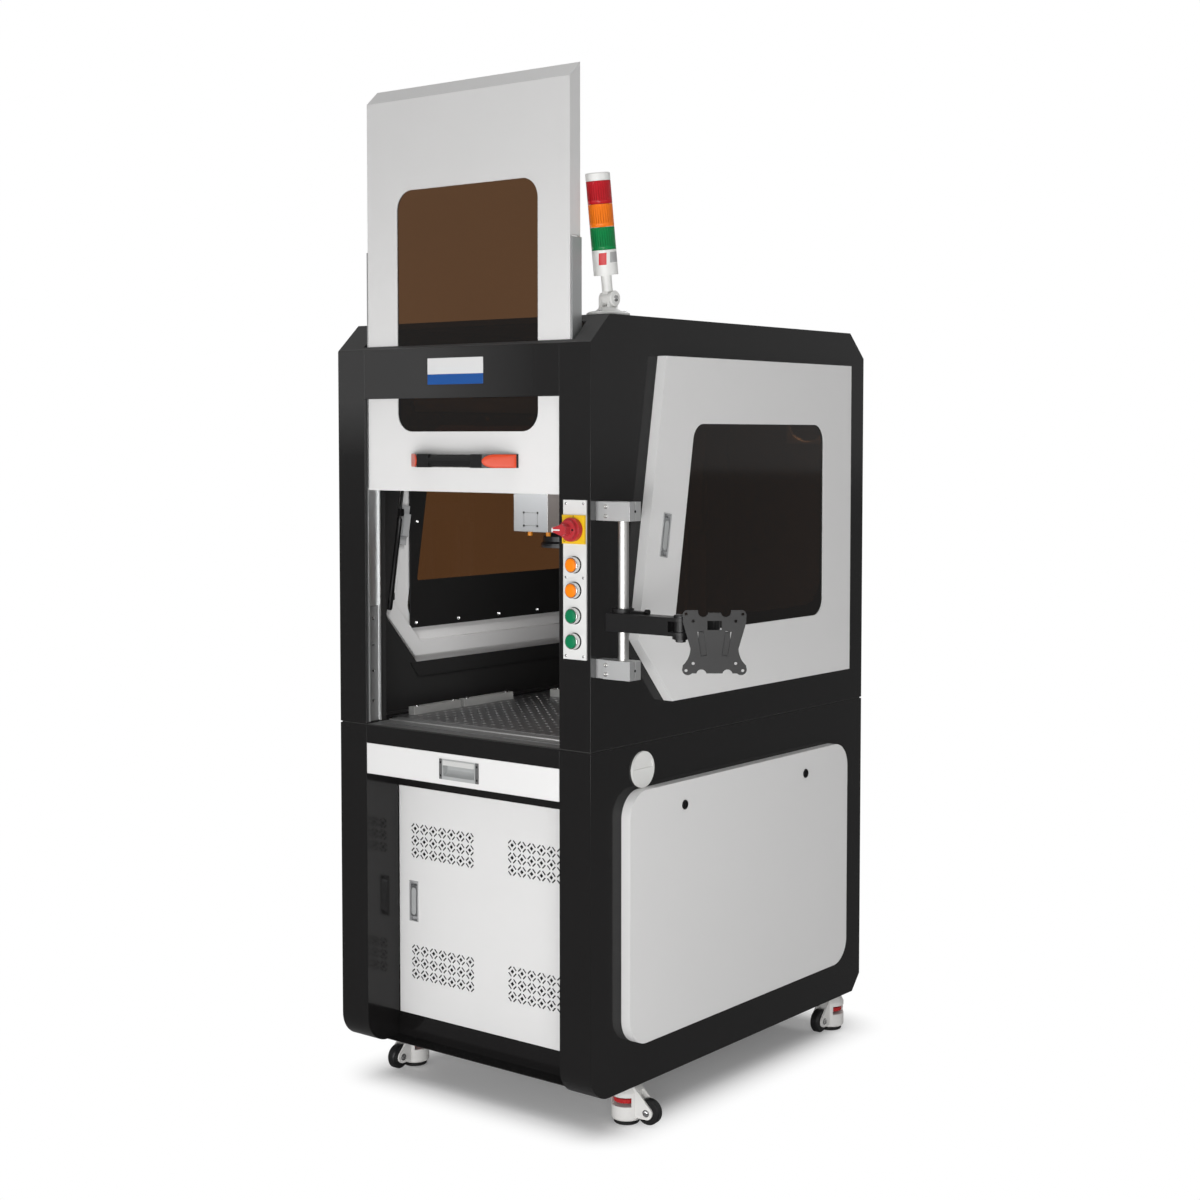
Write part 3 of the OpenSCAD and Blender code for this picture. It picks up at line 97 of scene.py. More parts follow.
@dataclass(frozen=True)
class Span:
    """The space between two parallel planes.

    Attributes:
        normal: direction across the planes.
        low: distance of the first plane from the frame's zero, in metres.
        high: distance of the second.
        soft: width over which the span fades at each plane, in metres.
    """

    normal: Vec
    low: float
    high: float
    soft: float = 0.0


@dataclass(frozen=True)
class Patch:
    """A region of a surface that has a colour of its own.

    Attributes:
        spans: the region is what lies inside all of them.
        colour: its linear colour.
        metal: its metallic share, or None to keep the finish's.
        gloss: its roughness, or None to keep the finish's.
    """

    spans: tuple[Span, ...]
    colour: Rgb
    metal: float | None = None
    gloss: float | None = None


@dataclass(frozen=True)
class Holes:
    """Painted highlights on the chamfers round a square grid of holes in a level plate.

    Attributes:
        start: x and y of one hole, in the machine's millimetres.
        pitch: distance between neighbours, in millimetres.
        radius: outer radius of a chamfer, in millimetres.
        colour: its linear colour.
    """

    start: Pair
    pitch: float
    radius: float
    colour: Rgb


@dataclass(frozen=True)
class Finish:
    """How one material of the machine looks.

    Attributes:
        slot: the record's slot it belongs to; not used.
        metallic: 1 for bare metal.
        grain: kind of fine relief.
        grain_size: size of that relief, in metres.
        relief: height of that relief, in metres.
        stretch: axis along which a brushed grain runs.
        tone_shift: how far the colour wanders, as a share.
        specular: level of reflection of a coat or plastic.
        coat: weight of the clear coat.
        edge: radius over which sharp edges look eased, in metres.
        wear: colour that shows through on worn edges, or None.
        wear_amount: how much of it shows.
        through: share of light let through.
        patches: regions with their own colour.
        holes: painted highlights on the chamfers round a grid of holes, or None.
    """

    name: str
    slot: str
    colour: Rgb
    roughness: float = 0.5
    metallic: float = 0.0
    grain: Grain = Grain.SMOOTH
    grain_size: float = 0.002
    relief: float = 0.00005
    stretch: Axis = Axis.X
    tone_shift: float = 0.04
    gloss_shift: float = 0.06
    specular: float = 0.5
    coat: float = 0.0
    edge: float = 0.0
    wear: Rgb | None = None
    wear_amount: float = 0.0
    through: float = 0.0
    ior: float = 1.45
    patches: tuple[Patch, ...] = ()
    holes: Holes | None = None


class Graph:
    """A node tree while it is being wired."""

    def __init__(self, tree: bpy.types.NodeTree) -> None:
        """Empties the tree.

        Args:
            tree: the tree of a material or of the world.
        """
        self.tree = tree
        self.tree.nodes.clear()

    @cached_property
    def coords(self) -> bpy.types.NodeSocket:
        """The Object coordinates, whose node is added when they are first asked for."""
        return self.add("ShaderNodeTexCoord").outputs["Object"]

    def add(self, kind: str, **values: object) -> bpy.types.Node:
        """Adds a node and fills its sockets and properties.

        Args:
            kind: the node's type.
            values: sockets by name with _ for spaces, or properties.

        Returns:
            The node.
        """
        node = self.tree.nodes.new(kind)
        for key, value in values.items():
            socket = node.inputs.get(key.replace("_", " "))
            if socket is None:
                setattr(node, key, value)
            elif isinstance(value, bpy.types.NodeSocket):
                self.tree.links.new(value, socket)
            else:
                socket.default_value = value
        return node

    def link(self, source: bpy.types.NodeSocket, target: bpy.types.NodeSocket) -> None:
        """Joins two sockets."""
        self.tree.links.new(source, target)

    def maths(self, operation: str, a: object, b: object = 0.0, c: object = 0.0,
              clamp: bool = False) -> bpy.types.NodeSocket:
        """Adds one sum.

        Args:
            operation: the sum's name.
            a: first number or socket.
            b: second number or socket.
            c: third number or socket, where the sum takes one.
            clamp: whether the result stays from 0 to 1.

        Returns:
            The result's socket.
        """
        node = self.tree.nodes.new("ShaderNodeMath")
        node.operation = operation
        node.use_clamp = clamp
        for socket, value in zip(node.inputs, (a, b, c)):
            if isinstance(value, bpy.types.NodeSocket):
                self.link(value, socket)
            else:
                socket.default_value = value
        return node.outputs[0]

    def noise(self, size: float, detail: float = 3.0, stretch: Rgb = (1.0, 1.0, 1.0)) -> bpy.types.NodeSocket:
        """Adds a noise of a given grain.

        Args:
            size: size of its lumps, in metres.
            detail: octaves of finer lumps.
            stretch: how much it is scaled along each axis.

        Returns:
            A socket from 0 to 1.
        """
        place = self.add("ShaderNodeMapping", Vector=self.coords, Scale=stretch).outputs[0]
        node = self.add("ShaderNodeTexNoise", Vector=place, Scale=1.0 / size, Detail=detail, Roughness=0.55)
        return node.outputs["Fac"]

    def blend(self, share: object, a: object, b: object) -> bpy.types.NodeSocket:
        """Adds a mix of two colours.

        Args:
            share: how much of the second shows.
            a: first colour or socket.
            b: second colour or socket.

        Returns:
            The mixed colour's socket.
        """
        node = self.tree.nodes.new("ShaderNodeMix")
        node.data_type = "RGBA"
        for name, value in (("Factor_Float", share), ("A_Color", a), ("B_Color", b)):
            socket = next(s for s in node.inputs if s.identifier == name)
            if isinstance(value, bpy.types.NodeSocket):
                self.link(value, socket)
            elif isinstance(value, tuple):
                socket.default_value = (*value, 1.0)
            else:
                socket.default_value = value
        return next(s for s in node.outputs if s.identifier == "Result_Color")

    def mix(self, *parts: bpy.types.NodeSocket) -> bpy.types.NodeSocket:
        """Adds a mix of two shaders.

        Args:
            parts: the second shader's share, the first shader and the second.

        Returns:
            The mixed shader's socket.
        """
        node = self.add("ShaderNodeMixShader")
        for part, socket in zip(parts, node.inputs):
            self.link(part, socket)
        return node.outputs[0]

    def dot(self, first: object, second: object) -> bpy.types.NodeSocket:
        """Adds the dot product of two vectors.

        Args:
            first: a vector or its socket.
            second: the other one.

        Returns:
            The product's socket.
        """
        node = self.add("ShaderNodeVectorMath", operation="DOT_PRODUCT")
        for value, socket in zip((first, second), node.inputs):
            if isinstance(value, bpy.types.NodeSocket):
                self.link(value, socket)
            else:
                socket.default_value = value
        return node.outputs["Value"]

    def rays(self) -> tuple[bpy.types.NodeSocket, bpy.types.NodeSocket]:
        """Adds two masks: 1 where the eye looks straight or through a pane, and 1 in reflections.

        Returns:
            Both masks, in that order.
        """
        path = self.add("ShaderNodeLightPath").outputs
        looked = self.maths("ADD", path["Is Camera Ray"], path["Is Transmission Ray"], clamp=True)
        return looked, path["Is Glossy Ray"]

    def finish(self, shader: bpy.types.NodeSocket, kind: str = "ShaderNodeOutputMaterial") -> None:
        """Ends the tree in an output of a kind."""
        self.link(shader, self.add(kind).inputs["Surface"])

    def span(self, span: Span) -> bpy.types.NodeSocket:
        """Adds a mask that is 1 inside a span.

        Args:
            span: the span.

        Returns:
            The mask's socket.
        """
        along = self.dot(self.coords, span.normal)
        if not span.soft:
            above = self.maths("GREATER_THAN", along, span.low)
            below = self.maths("LESS_THAN", along, span.high)
            return self.maths("MULTIPLY", above, below)
        rate = 1.0 / span.soft
        above = self.maths("MULTIPLY_ADD", along, rate, 0.5 - span.low * rate, clamp=True)
        below = self.maths("MULTIPLY_ADD", along, -rate, 0.5 + span.high * rate, clamp=True)
        return self.maths("MULTIPLY", above, below)

    def chamfers(self, holes: Holes) -> bpy.types.NodeSocket:
        """Adds a mask that is 1 on the chamfers round a grid of holes.

        Args:
            holes: the grid.

        Returns:
            The mask's socket.
        """
        start = DATUM.row(np.array([*holes.start, 0.0]))
        place = self.add("ShaderNodeSeparateXYZ", Vector=self.coords)
        half = holes.pitch * MM / 2
        across, back = (
            self.maths("WRAP", self.maths("SUBTRACT", place.outputs[axis], float(start[axis])), half, -half)
            for axis in (0, 1)
        )
        square = self.maths("MULTIPLY_ADD", across, across, self.maths("MULTIPLY", back, back))
        return self.maths("LESS_THAN", square, (holes.radius * MM) ** 2)

    def region(self, patch: Patch) -> bpy.types.NodeSocket:
        """Adds a mask that is 1 inside a patch.

        Args:
            patch: the patch.

        Returns:
            The mask's socket.
        """
        mask = self.span(patch.spans[0])
        for span in patch.spans[1:]:
            mask = self.maths("MULTIPLY", mask, self.span(span))
        return mask


def blank_material(name: str) -> tuple[bpy.types.Material, Graph]:
    """A new material and its empty graph.

    Args:
        name: the material's name.

    Returns:
        The material and the graph.
    """
    material = bpy.data.materials.new(name)
    material.use_nodes = True
    return material, Graph(material.node_tree)


@dataclass
class Paintbox:
    """Makes each finish's material once and puts it on nodes and pieces.

    Attributes:
        drift: size of the slow wander of a finish's tone, in metres.
        scuff: size of the wander of its roughness.
        speck: size of the specks that break up its wear, in sizes of its grain.
        peel: size of the lumps under a powder coat's grain, in sizes of that grain.
        streak: how much a brushed grain is drawn out along its axis, as a scale.
        coat_roughness: roughness of the clear coats.
        least_edge: least radius at which worn edges are looked for.
        wear_gain: how fast wear comes in as an edge gets sharper.
        samples: samples of the nodes that ease edges.
        made: the materials made so far, by the finish's name.
    """

    drift: float = 0.22
    scuff: float = 0.05
    speck: float = 6.0
    peel: float = 2.5
    streak: float = 0.02
    coat_roughness: float = 0.08
    least_edge: float = 0.0006
    wear_gain: float = 3.0
    samples: int = 4
    made: dict[str, bpy.types.Material] = field(default_factory=dict)

    def material(self, finish: Finish) -> bpy.types.Material:
        """The material of a finish, made the first time it is asked for.

        Args:
            finish: the finish.

        Returns:
            Its material.
        """
        if finish.name not in self.made:
            self.made[finish.name] = self.wired(finish)
        return self.made[finish.name]

    def relief(self, graph: Graph, finish: Finish) -> bpy.types.NodeSocket:
        """The fine relief of a finish, as a height from 0 to 1.

        Args:
            graph: the tree being wired.
            finish: the finish.

        Returns:
            The height's socket.
        """
        size = finish.grain_size
        if finish.grain is Grain.BRUSHED:
            along = [1.0, 1.0, 1.0]
            along[finish.stretch.value] = self.streak
            return graph.noise(size, 4.0, tuple(along))
        if finish.grain is Grain.SPANGLE:
            cells = graph.add("ShaderNodeTexVoronoi", Vector=graph.coords, Scale=1.0 / size)
            return cells.outputs["Distance"]
        if finish.grain is Grain.CAST:
            return graph.maths("POWER", graph.noise(size, 6.0), 1.6)
        if finish.grain is Grain.POWDER_COAT:
            cells = graph.add(
                "ShaderNodeTexVoronoi", Vector=graph.coords, Scale=1.0 / size, feature="SMOOTH_F1")
            return graph.maths("ADD", cells.outputs["Distance"], graph.noise(size * self.peel, 2.0))
        return graph.noise(size, 2.0)

    def wired(self, finish: Finish) -> bpy.types.Material:
        """Wires one finish: wandering tone, patches, worn edges, wandering roughness and relief.

        Args:
            finish: the finish.

        Returns:
            Its material.
        """
        material, graph = blank_material(finish.name)
        drift = graph.noise(self.drift, 3.0)
        shade = tuple(c * (1 - finish.tone_shift) for c in finish.colour)
        light = tuple(min(1.0, c * (1 + finish.tone_shift)) for c in finish.colour)
        colour = graph.blend(drift, shade, light)
        scuff = graph.noise(self.scuff, 5.0)
        smoothest = finish.roughness - finish.gloss_shift / 2
        rough = graph.maths("MULTIPLY_ADD", scuff, finish.gloss_shift, smoothest)
        metal: object = finish.metallic
        for patch in finish.patches:
            inside = graph.region(patch)
            shade = tuple(c * (1 - finish.tone_shift) for c in patch.colour)
            colour = graph.blend(inside, colour, graph.blend(drift, shade, patch.colour))
            if patch.gloss is not None:
                step = graph.maths("SUBTRACT", patch.gloss, rough)
                rough = graph.maths("MULTIPLY_ADD", inside, step, rough)
            if patch.metal is not None:
                step = graph.maths("SUBTRACT", patch.metal, metal)
                metal = graph.maths("MULTIPLY_ADD", inside, step, metal)
        # Painted highlight round the holes' chamfers.
        if finish.holes:
            colour = graph.blend(graph.chamfers(finish.holes), colour, finish.holes.colour)
        if finish.wear is not None:
            colour = graph.blend(self.worn(graph, finish), colour, finish.wear)
        bump = graph.add(
            "ShaderNodeBump", Height=self.relief(graph, finish), Strength=1.0, Distance=finish.relief)
        if finish.edge:
            eased = graph.add("ShaderNodeBevel", Radius=finish.edge, samples=self.samples)
            graph.link(eased.outputs[0], bump.inputs["Normal"])
        shader = graph.add(
            "ShaderNodeBsdfPrincipled", Base_Color=colour, Roughness=rough, Metallic=metal, IOR=finish.ior,
            Specular_IOR_Level=finish.specular, Coat_Weight=finish.coat, Coat_Roughness=self.coat_roughness,
            Transmission_Weight=finish.through, Normal=bump.outputs[0],
        )
        graph.finish(shader.outputs[0])
        return material

    def worn(self, graph: Graph, finish: Finish) -> bpy.types.NodeSocket:
        """Where the coat is rubbed through: sharp edges, broken up by a noise.

        An edge is as sharp as the eased normal is bent away from the true one.

        Args:
            graph: the tree being wired.
            finish: the finish.

        Returns:
            The mask's socket.
        """
        speck = graph.noise(finish.grain_size * self.speck, 4.0)
        radius = max(finish.edge, self.least_edge)
        eased = graph.add("ShaderNodeBevel", Radius=radius, samples=self.samples)
        true = graph.add("ShaderNodeNewGeometry").outputs["Normal"]
        bent = graph.maths("SUBTRACT", 1.0, graph.dot(eased.outputs[0], true), clamp=True)
        sharp = graph.maths("MULTIPLY", bent, self.wear_gain, clamp=True)
        patchy = graph.maths("MULTIPLY", sharp, graph.maths("POWER", speck, 2.0))
        return graph.maths("MULTIPLY", patchy, finish.wear_amount, clamp=True)

    def dress(self, finish: Finish, *nodes: str) -> None:
        """Puts a finish on CAD nodes.

        Args:
            finish: the finish.
            nodes: the nodes' names.
        """
        for node in nodes:
            self.coat(frame["nodes"][node], finish)

    def coat(self, obj: bpy.types.Object, finish: Finish) -> None:
        """Puts a finish on an object, over whatever it had.

        Args:
            obj: a node's object or a piece.
            finish: the finish.
        """
        made = self.material(finish)
        if not obj.data.materials:
            obj.data.materials.append(made)
        for index in range(len(obj.data.materials)):
            obj.data.materials[index] = made


PAINTS = Paintbox()

BLACK_COAT = Finish(
    "gloss_black_powder_coat", "black_paint", (0.0095, 0.0090, 0.0090), 0.13, grain=Grain.POWDER_COAT,
    grain_size=0.0014, relief=0.000004, tone_shift=0.10, gloss_shift=0.06, specular=0.42, edge=0.0012,
    wear=(0.03, 0.03, 0.03), wear_amount=0.6,
)
WHITE_COAT = Finish(
    "white_powder_coat", "white_paint", (0.80, 0.795, 0.79), 0.34, grain=Grain.POWDER_COAT,
    grain_size=0.0012, relief=0.00002, tone_shift=0.012, gloss_shift=0.08, specular=0.4, edge=0.0012,
    wear=(0.62, 0.61, 0.60), wear_amount=0.5,
)
GALVANISED = Finish(
    "bright_galvanised_sheet", "galvanised", (0.60, 0.61, 0.61), 0.38, 0.9, Grain.SPANGLE,
    0.006, 0.00001, tone_shift=0.08, gloss_shift=0.12, edge=0.0004,
)
STEEL = Finish(
    "ground_steel", "steel", (0.56, 0.555, 0.54), 0.36, 1.0, Grain.BRUSHED,
    0.0006, 0.00001, Axis.Z, tone_shift=0.05, gloss_shift=0.12, edge=0.0003,
)
ZINC = Finish(
    "satin_cast_zinc", "cast_zinc", (0.52, 0.53, 0.54), 0.40, 1.0, Grain.CAST,
    0.0015, 0.00003, tone_shift=0.05, gloss_shift=0.10, edge=0.0006,
)
CLAMP_ALLOY = replace(ZINC, name="machined_clamp_alloy", colour=(0.76, 0.765, 0.765), roughness=0.42,
                      grain=Grain.BRUSHED, grain_size=0.0006, relief=0.00001, stretch=Axis.Z)
TABLE_PLATE = Finish(
    "dark_ground_table", "table_steel", (0.30, 0.30, 0.31), 0.34, 1.0, Grain.BRUSHED,
    0.0007, 0.00002, Axis.X, tone_shift=0.10, gloss_shift=0.14, edge=0.0009,
)
AMBER_PANE = Finish(
    "amber_laser_pane", "amber_pane", (0.090, 0.040, 0.014), 0.05, grain=Grain.MOULDED,
    grain_size=0.3, relief=0.00004, tone_shift=0.05, gloss_shift=0.02, specular=0.30, through=1.0, ior=1.40,
)
WHITE_PLASTIC = Finish(
    "white_satin_plastic", "white_plastic", (0.80, 0.80, 0.78), 0.35, grain=Grain.MOULDED,
    grain_size=0.0009, relief=0.00002, tone_shift=0.02, edge=0.0006,
)
CONTROL_WHITE = Finish(
    "control_panel_white", "control_white", (0.72, 0.72, 0.71), 0.36, grain=Grain.POWDER_COAT,
    grain_size=0.001, relief=0.00002, tone_shift=0.02, edge=0.0005,
)
BLACK_CAST = Finish(
    "textured_black_casting", "black_cast", (0.0075, 0.0072, 0.0075), 0.36, grain=Grain.CAST,
    grain_size=0.0011, relief=0.00004, tone_shift=0.12, gloss_shift=0.10, specular=0.35, edge=0.0008,
    wear=(0.05, 0.05, 0.05), wear_amount=0.8,
)
BLACK_SHEET = replace(BLACK_CAST, name="matt_black_sheet", colour=(0.014, 0.0135, 0.0135), roughness=0.5,
                      grain=Grain.POWDER_COAT, grain_size=0.0012, relief=0.00001, slot="black_paint")
WHITE_CAST = Finish(
    "painted_die_casting", "white_cast", (0.76, 0.75, 0.73), 0.40, grain=Grain.CAST,
    grain_size=0.0013, relief=0.00004, tone_shift=0.04, edge=0.0008,
)
NYLON = Finish(
    "black_nylon", "wheel_black", (0.012, 0.012, 0.0125), 0.42, grain=Grain.MOULDED,
    grain_size=0.0008, relief=0.00004, tone_shift=0.10, specular=0.35, edge=0.0008,
)
HANDLE_BLACK = Finish(
    "handle_black", "handle", (0.013, 0.013, 0.0135), 0.22, grain=Grain.MOULDED,
    grain_size=0.0007, relief=0.00003, tone_shift=0.08, specular=0.4, edge=0.0006,
)
GRIP_ORANGE = Finish(
    "grip_cover_orange", "handle", (0.68, 0.062, 0.015), 0.34, grain=Grain.MOULDED,
    grain_size=0.0007, relief=0.00002, tone_shift=0.05, specular=0.4, edge=0.0005,
)
CUP_GREY = Finish(
    "drawer_cup_grey", "cup", (0.42, 0.43, 0.43), 0.30, grain=Grain.MOULDED,
    grain_size=0.0009, relief=0.00002, tone_shift=0.04, edge=0.0005,
)
ANODISED = Finish(
    "dark_anodised", "anodised", (0.040, 0.040, 0.043), 0.34, grain=Grain.BRUSHED,
    grain_size=0.0006, relief=0.00002, tone_shift=0.08, edge=0.0005,
)
HOUSING = Finish(
    "grey_anodised_housing", "grey_housing", (0.25, 0.255, 0.26), 0.42, 0.3, Grain.CAST,
    0.0008, 0.00001, tone_shift=0.05, edge=0.0006,
)
FENCE = Finish(
    "satin_fence_bar", "fence", (0.66, 0.66, 0.64), 0.34, 0.6, Grain.BRUSHED,
    0.0006, 0.00001, Axis.X, tone_shift=0.05, edge=0.0008,
)
RED = Finish(
    "red_plastic", "red_plastic", (0.46, 0.028, 0.036), 0.32, grain=Grain.MOULDED,
    grain_size=0.0008, relief=0.00002, tone_shift=0.05, edge=0.0012,
)
AMBER_CAP = Finish(
    "amber_button_cap", "amber_button", (0.95, 0.24, 0.004), 0.30, grain=Grain.MOULDED,
    grain_size=0.0006, relief=0.00001, tone_shift=0.05, specular=0.3, edge=0.0004,
)
GREEN_CAP = replace(AMBER_CAP, name="green_button_cap", slot="green_button", colour=(0.002, 0.19, 0.075))
RED_LENS = Finish(
    "red_signal_lens", "lens_stack", (0.50, 0.010, 0.018), 0.22, grain=Grain.MOULDED,
    grain_size=0.0009, relief=0.00001, tone_shift=0.05, specular=0.35, edge=0.0004,
)
AMBER_LENS = replace(RED_LENS, name="amber_signal_lens", colour=(0.92, 0.20, 0.008))
GREEN_LENS = replace(RED_LENS, name="green_signal_lens", colour=(0.001, 0.22, 0.055))
CHROME = Finish(
    "bright_screw", "steel", (0.66, 0.66, 0.66), 0.18, 1.0, Grain.BRUSHED,
    0.0005, 0.000006, Axis.X, tone_shift=0.05, gloss_shift=0.08,
)
DARK_SCREW = Finish(
    "blackened_screw", "black_cast", (0.02, 0.02, 0.021), 0.32, 0.6, Grain.CAST,
    0.0006, 0.00001, tone_shift=0.10, gloss_shift=0.10,
)
SEAL = Finish(
    "black_rubber_seal", "black_cast", (0.010, 0.010, 0.010), 0.6, grain=Grain.MOULDED,
    grain_size=0.0015, relief=0.00003, tone_shift=0.12, specular=0.25, edge=0.0006,
)
OPTIC = Finish(
    "coated_scan_lens", "black_cast", (0.010, 0.012, 0.022), 0.04, grain=Grain.SMOOTH,
    grain_size=0.02, relief=0.000002, tone_shift=0.10, gloss_shift=0.02, coat=1.0,
)


# ---------------------------------------------------------------- surfaces


class Facing(Enum):
    """Way a fitting's outer face points, with the turns that bring it there from facing up."""

    TOP = ()
    FRONT = ((Axis.X, 90.0),)
    RIGHT = ((Axis.X, 90.0), (Axis.Z, 90.0))
    BACK = ((Axis.X, 90.0), (Axis.Z, 180.0))
    LEFT = ((Axis.X, 90.0), (Axis.Z, -90.0))
    BASE = ((Axis.X, 180.0),)


class Datum:
    """The machine's own zero: middle of its width, front sheet, floor."""

    def __init__(self) -> None:
        """Finds the zero from the frame's boxes."""
        left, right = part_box("lower_left"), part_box("lower_right")
        self.x = (left[0].x + right[1].x) / 2
        self.y = min(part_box("upper_left")[0].y, left[0].y)
        self.zero = np.array([self.x, self.y, 0.0])

    def row(self, points: np.ndarray) -> np.ndarray:
        """Points in the machine's millimetres as metres of the frame.

        Args:
            points: an array whose last axis is x, y, z.

        Returns:
            The same points in the frame.
        """
        return np.asarray(points, float) * MM + self.zero


DATUM = Datum()


def across(axis: Axis, low: float, high: float, soft: float = 0.0) -> Span:
    """The span between two places on an axis, in the machine's millimetres.

    Args:
        axis: the axis.
        low: where it starts.
        high: where it ends.
        soft: width over which it fades.

    Returns:
        The span.
    """
    normal = tuple(float(axis.value == i) for i in range(3))
    shift = DATUM.zero[axis.value]
    return Span(normal, low * MM + shift, high * MM + shift, soft * MM)


def beyond(point: Vec, normal: Vec, low: float, high: float, soft: float = 0.0) -> Span:
    """The span between two planes square to a direction, measured from a point.

    Args:
        point: the point, in the machine's millimetres.
        normal: the direction.
        low: distance of the first plane from the point.
        high: distance of the second.
        soft: width over which it fades.

    Returns:
        The span.
    """
    unit = np.asarray(normal, float) / np.linalg.norm(normal)
    start = float(DATUM.row(np.array(point)) @ unit)
    return Span(tuple(unit.tolist()), start + low * MM, start + high * MM, soft * MM)


def box_patch(low: Vec, high: Vec, colour: Rgb, metal: float | None = None, gloss: float | None = None,
              soft: float = 0.0) -> Patch:
    """A patch in the shape of a box.

    Args:
        low: its lowest corner, in the machine's millimetres.
        high: its highest corner.
        colour: its linear colour.
        metal: its metallic share, or None.
        gloss: its roughness, or None.
        soft: width over which it fades.

    Returns:
        The patch.
    """
    spans = tuple(across(axis, low[axis.value], high[axis.value], soft) for axis in Axis)
    return Patch(spans, colour, metal, gloss)


def turn(points: np.ndarray, axis: Axis, degrees: float) -> np.ndarray:
    """Points turned about one axis through zero.

    Args:
        points: an array of points.
        axis: the axis.
        degrees: the angle, anticlockwise from that axis's tip.

    Returns:
        The turned points.
    """
    matrix = np.array(Matrix.Rotation(math.radians(degrees), 3, axis.name))
    return points @ matrix.T


def mesh_piece(name: str, shape: Shape, body: str, finish: Finish, smooth: float = 35.0) -> bpy.types.Object:
    """A finished piece from points in the machine's millimetres.

    Args:
        name: the piece's name.
        shape: its points and faces.
        body: the body it rides on.
        finish: its finish.
        smooth: angle under which faces shade as one surface, in degrees.

    Returns:
        The piece.
    """
    points, faces = shape
    mesh = bpy.data.meshes.new(name)
    mesh.from_pydata(DATUM.row(points).tolist(), [], faces)
    mesh.update()
    obj = bpy.data.objects.new(name, mesh)
    bpy.context.scene.collection.objects.link(obj)
    mesh.shade_smooth()
    mesh.set_sharp_from_angle(angle=math.radians(smooth))
    PAINTS.coat(obj, finish)
    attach(obj, body)
    return obj


def fitting(name: str, body: str, finish: Finish, shape: Shape, facing: Facing,
            *places: Vec) -> bpy.types.Object:
    """A finished piece made of one fitting, turned to face a way and set at each of its places.

    Args:
        name: the piece's name.
        body: the body it rides on.
        finish: its finish.
        shape: points and faces of the fitting, facing up.
        facing: the way it faces.
        places: where its foot stands.

    Returns:
        The piece.
    """
    return mesh_piece(name, laid(shape, facing, *places), body, finish)


def spokes(count: int) -> np.ndarray:
    """Even angles all round, from 0."""
    return np.linspace(0, 2 * np.pi, count, endpoint=False)


def polar(reach: float | np.ndarray, angle: np.ndarray) -> np.ndarray:
    """Points x, y from reaches and angles: reach times cosine and sine."""
    return np.asarray(reach)[..., None] * np.stack([np.cos(angle), np.sin(angle)], -1)


def circle(radius: float, count: int = 32) -> np.ndarray:
    """Points round a circle: radius times cosine and sine of even angles."""
    return polar(radius, spokes(count))


def rounded(width: float, height: float, radius: float, count: int = 8) -> np.ndarray:
    """Outline of a rectangle with round corners: four quarter circles joined by lines.

    Args:
        width: its width.
        height: its height.
        radius: the corners' radius.
        count: points on each corner.

    Returns:
        An array of x, y, anticlockwise.
    """
    quarter = np.linspace(0, np.pi / 2, count)
    angle = (quarter[None] + np.arange(4)[:, None] * np.pi / 2).ravel()
    signs = np.repeat([(1, 1), (-1, 1), (-1, -1), (1, -1)], count, 0)
    return signs * (width / 2 - radius, height / 2 - radius) + polar(radius, angle)


def softened(corners: np.ndarray, radii: float | np.ndarray, count: int = 8) -> np.ndarray:
    """A convex outline with round corners.

    At each corner the arc's middle lies on the bisector, radius over the sine of
    half the corner's angle away; the arc runs between its feet on both sides.

    Args:
        corners: its corners, anticlockwise.
        radii: one radius, or one for each corner.
        count: points on each corner.

    Returns:
        An array of x, y.
    """
    corners = np.asarray(corners, float)
    radii = np.broadcast_to(np.asarray(radii, float), len(corners))
    back = np.roll(corners, 1, 0) - corners
    ahead = np.roll(corners, -1, 0) - corners
    back /= np.linalg.norm(back, axis=1, keepdims=True)
    ahead /= np.linalg.norm(ahead, axis=1, keepdims=True)
    half = np.arccos(np.clip((back * ahead).sum(1), -1, 1)) / 2
    bisector = back + ahead
    bisector /= np.linalg.norm(bisector, axis=1, keepdims=True)
    middle = corners + bisector * (radii / np.sin(half))[:, None]
    start = corners + back * (radii / np.tan(half))[:, None] - middle
    first = np.arctan2(start[:, 1], start[:, 0])
    sweep = np.pi - 2 * half
    angle = first[:, None] + sweep[:, None] * np.linspace(0, 1, count)[None]
    return (middle[:, None] + polar(radii[:, None], angle)).reshape(-1, 2)


def star(radius: float, width: float, count: int = 32) -> np.ndarray:
    """Outline of a cross-shaped drive: the nearer of two crossed bars at each angle.

    Args:
        radius: reach of its arms.
        width: width of its arms.
        count: how many points.

    Returns:
        An array of x, y.
    """
    angle = spokes(count)
    beside = np.minimum(np.abs(np.sin(angle)), np.abs(np.cos(angle)))
    return polar(np.minimum(radius, width / 2 / np.maximum(beside, 1e-3)), angle)


def hexagon(width: float, count: int = 24) -> np.ndarray:
    """Outline of a hexagon: half its width over the cosine of the angle from each flat.

    Args:
        width: width across its flats.
        count: how many points, a multiple of twelve.

    Returns:
        An array of x, y.
    """
    angle = spokes(count)
    local = (angle + np.pi / 6) % (np.pi / 3) - np.pi / 6
    return polar(width / 2 / np.cos(local), angle)


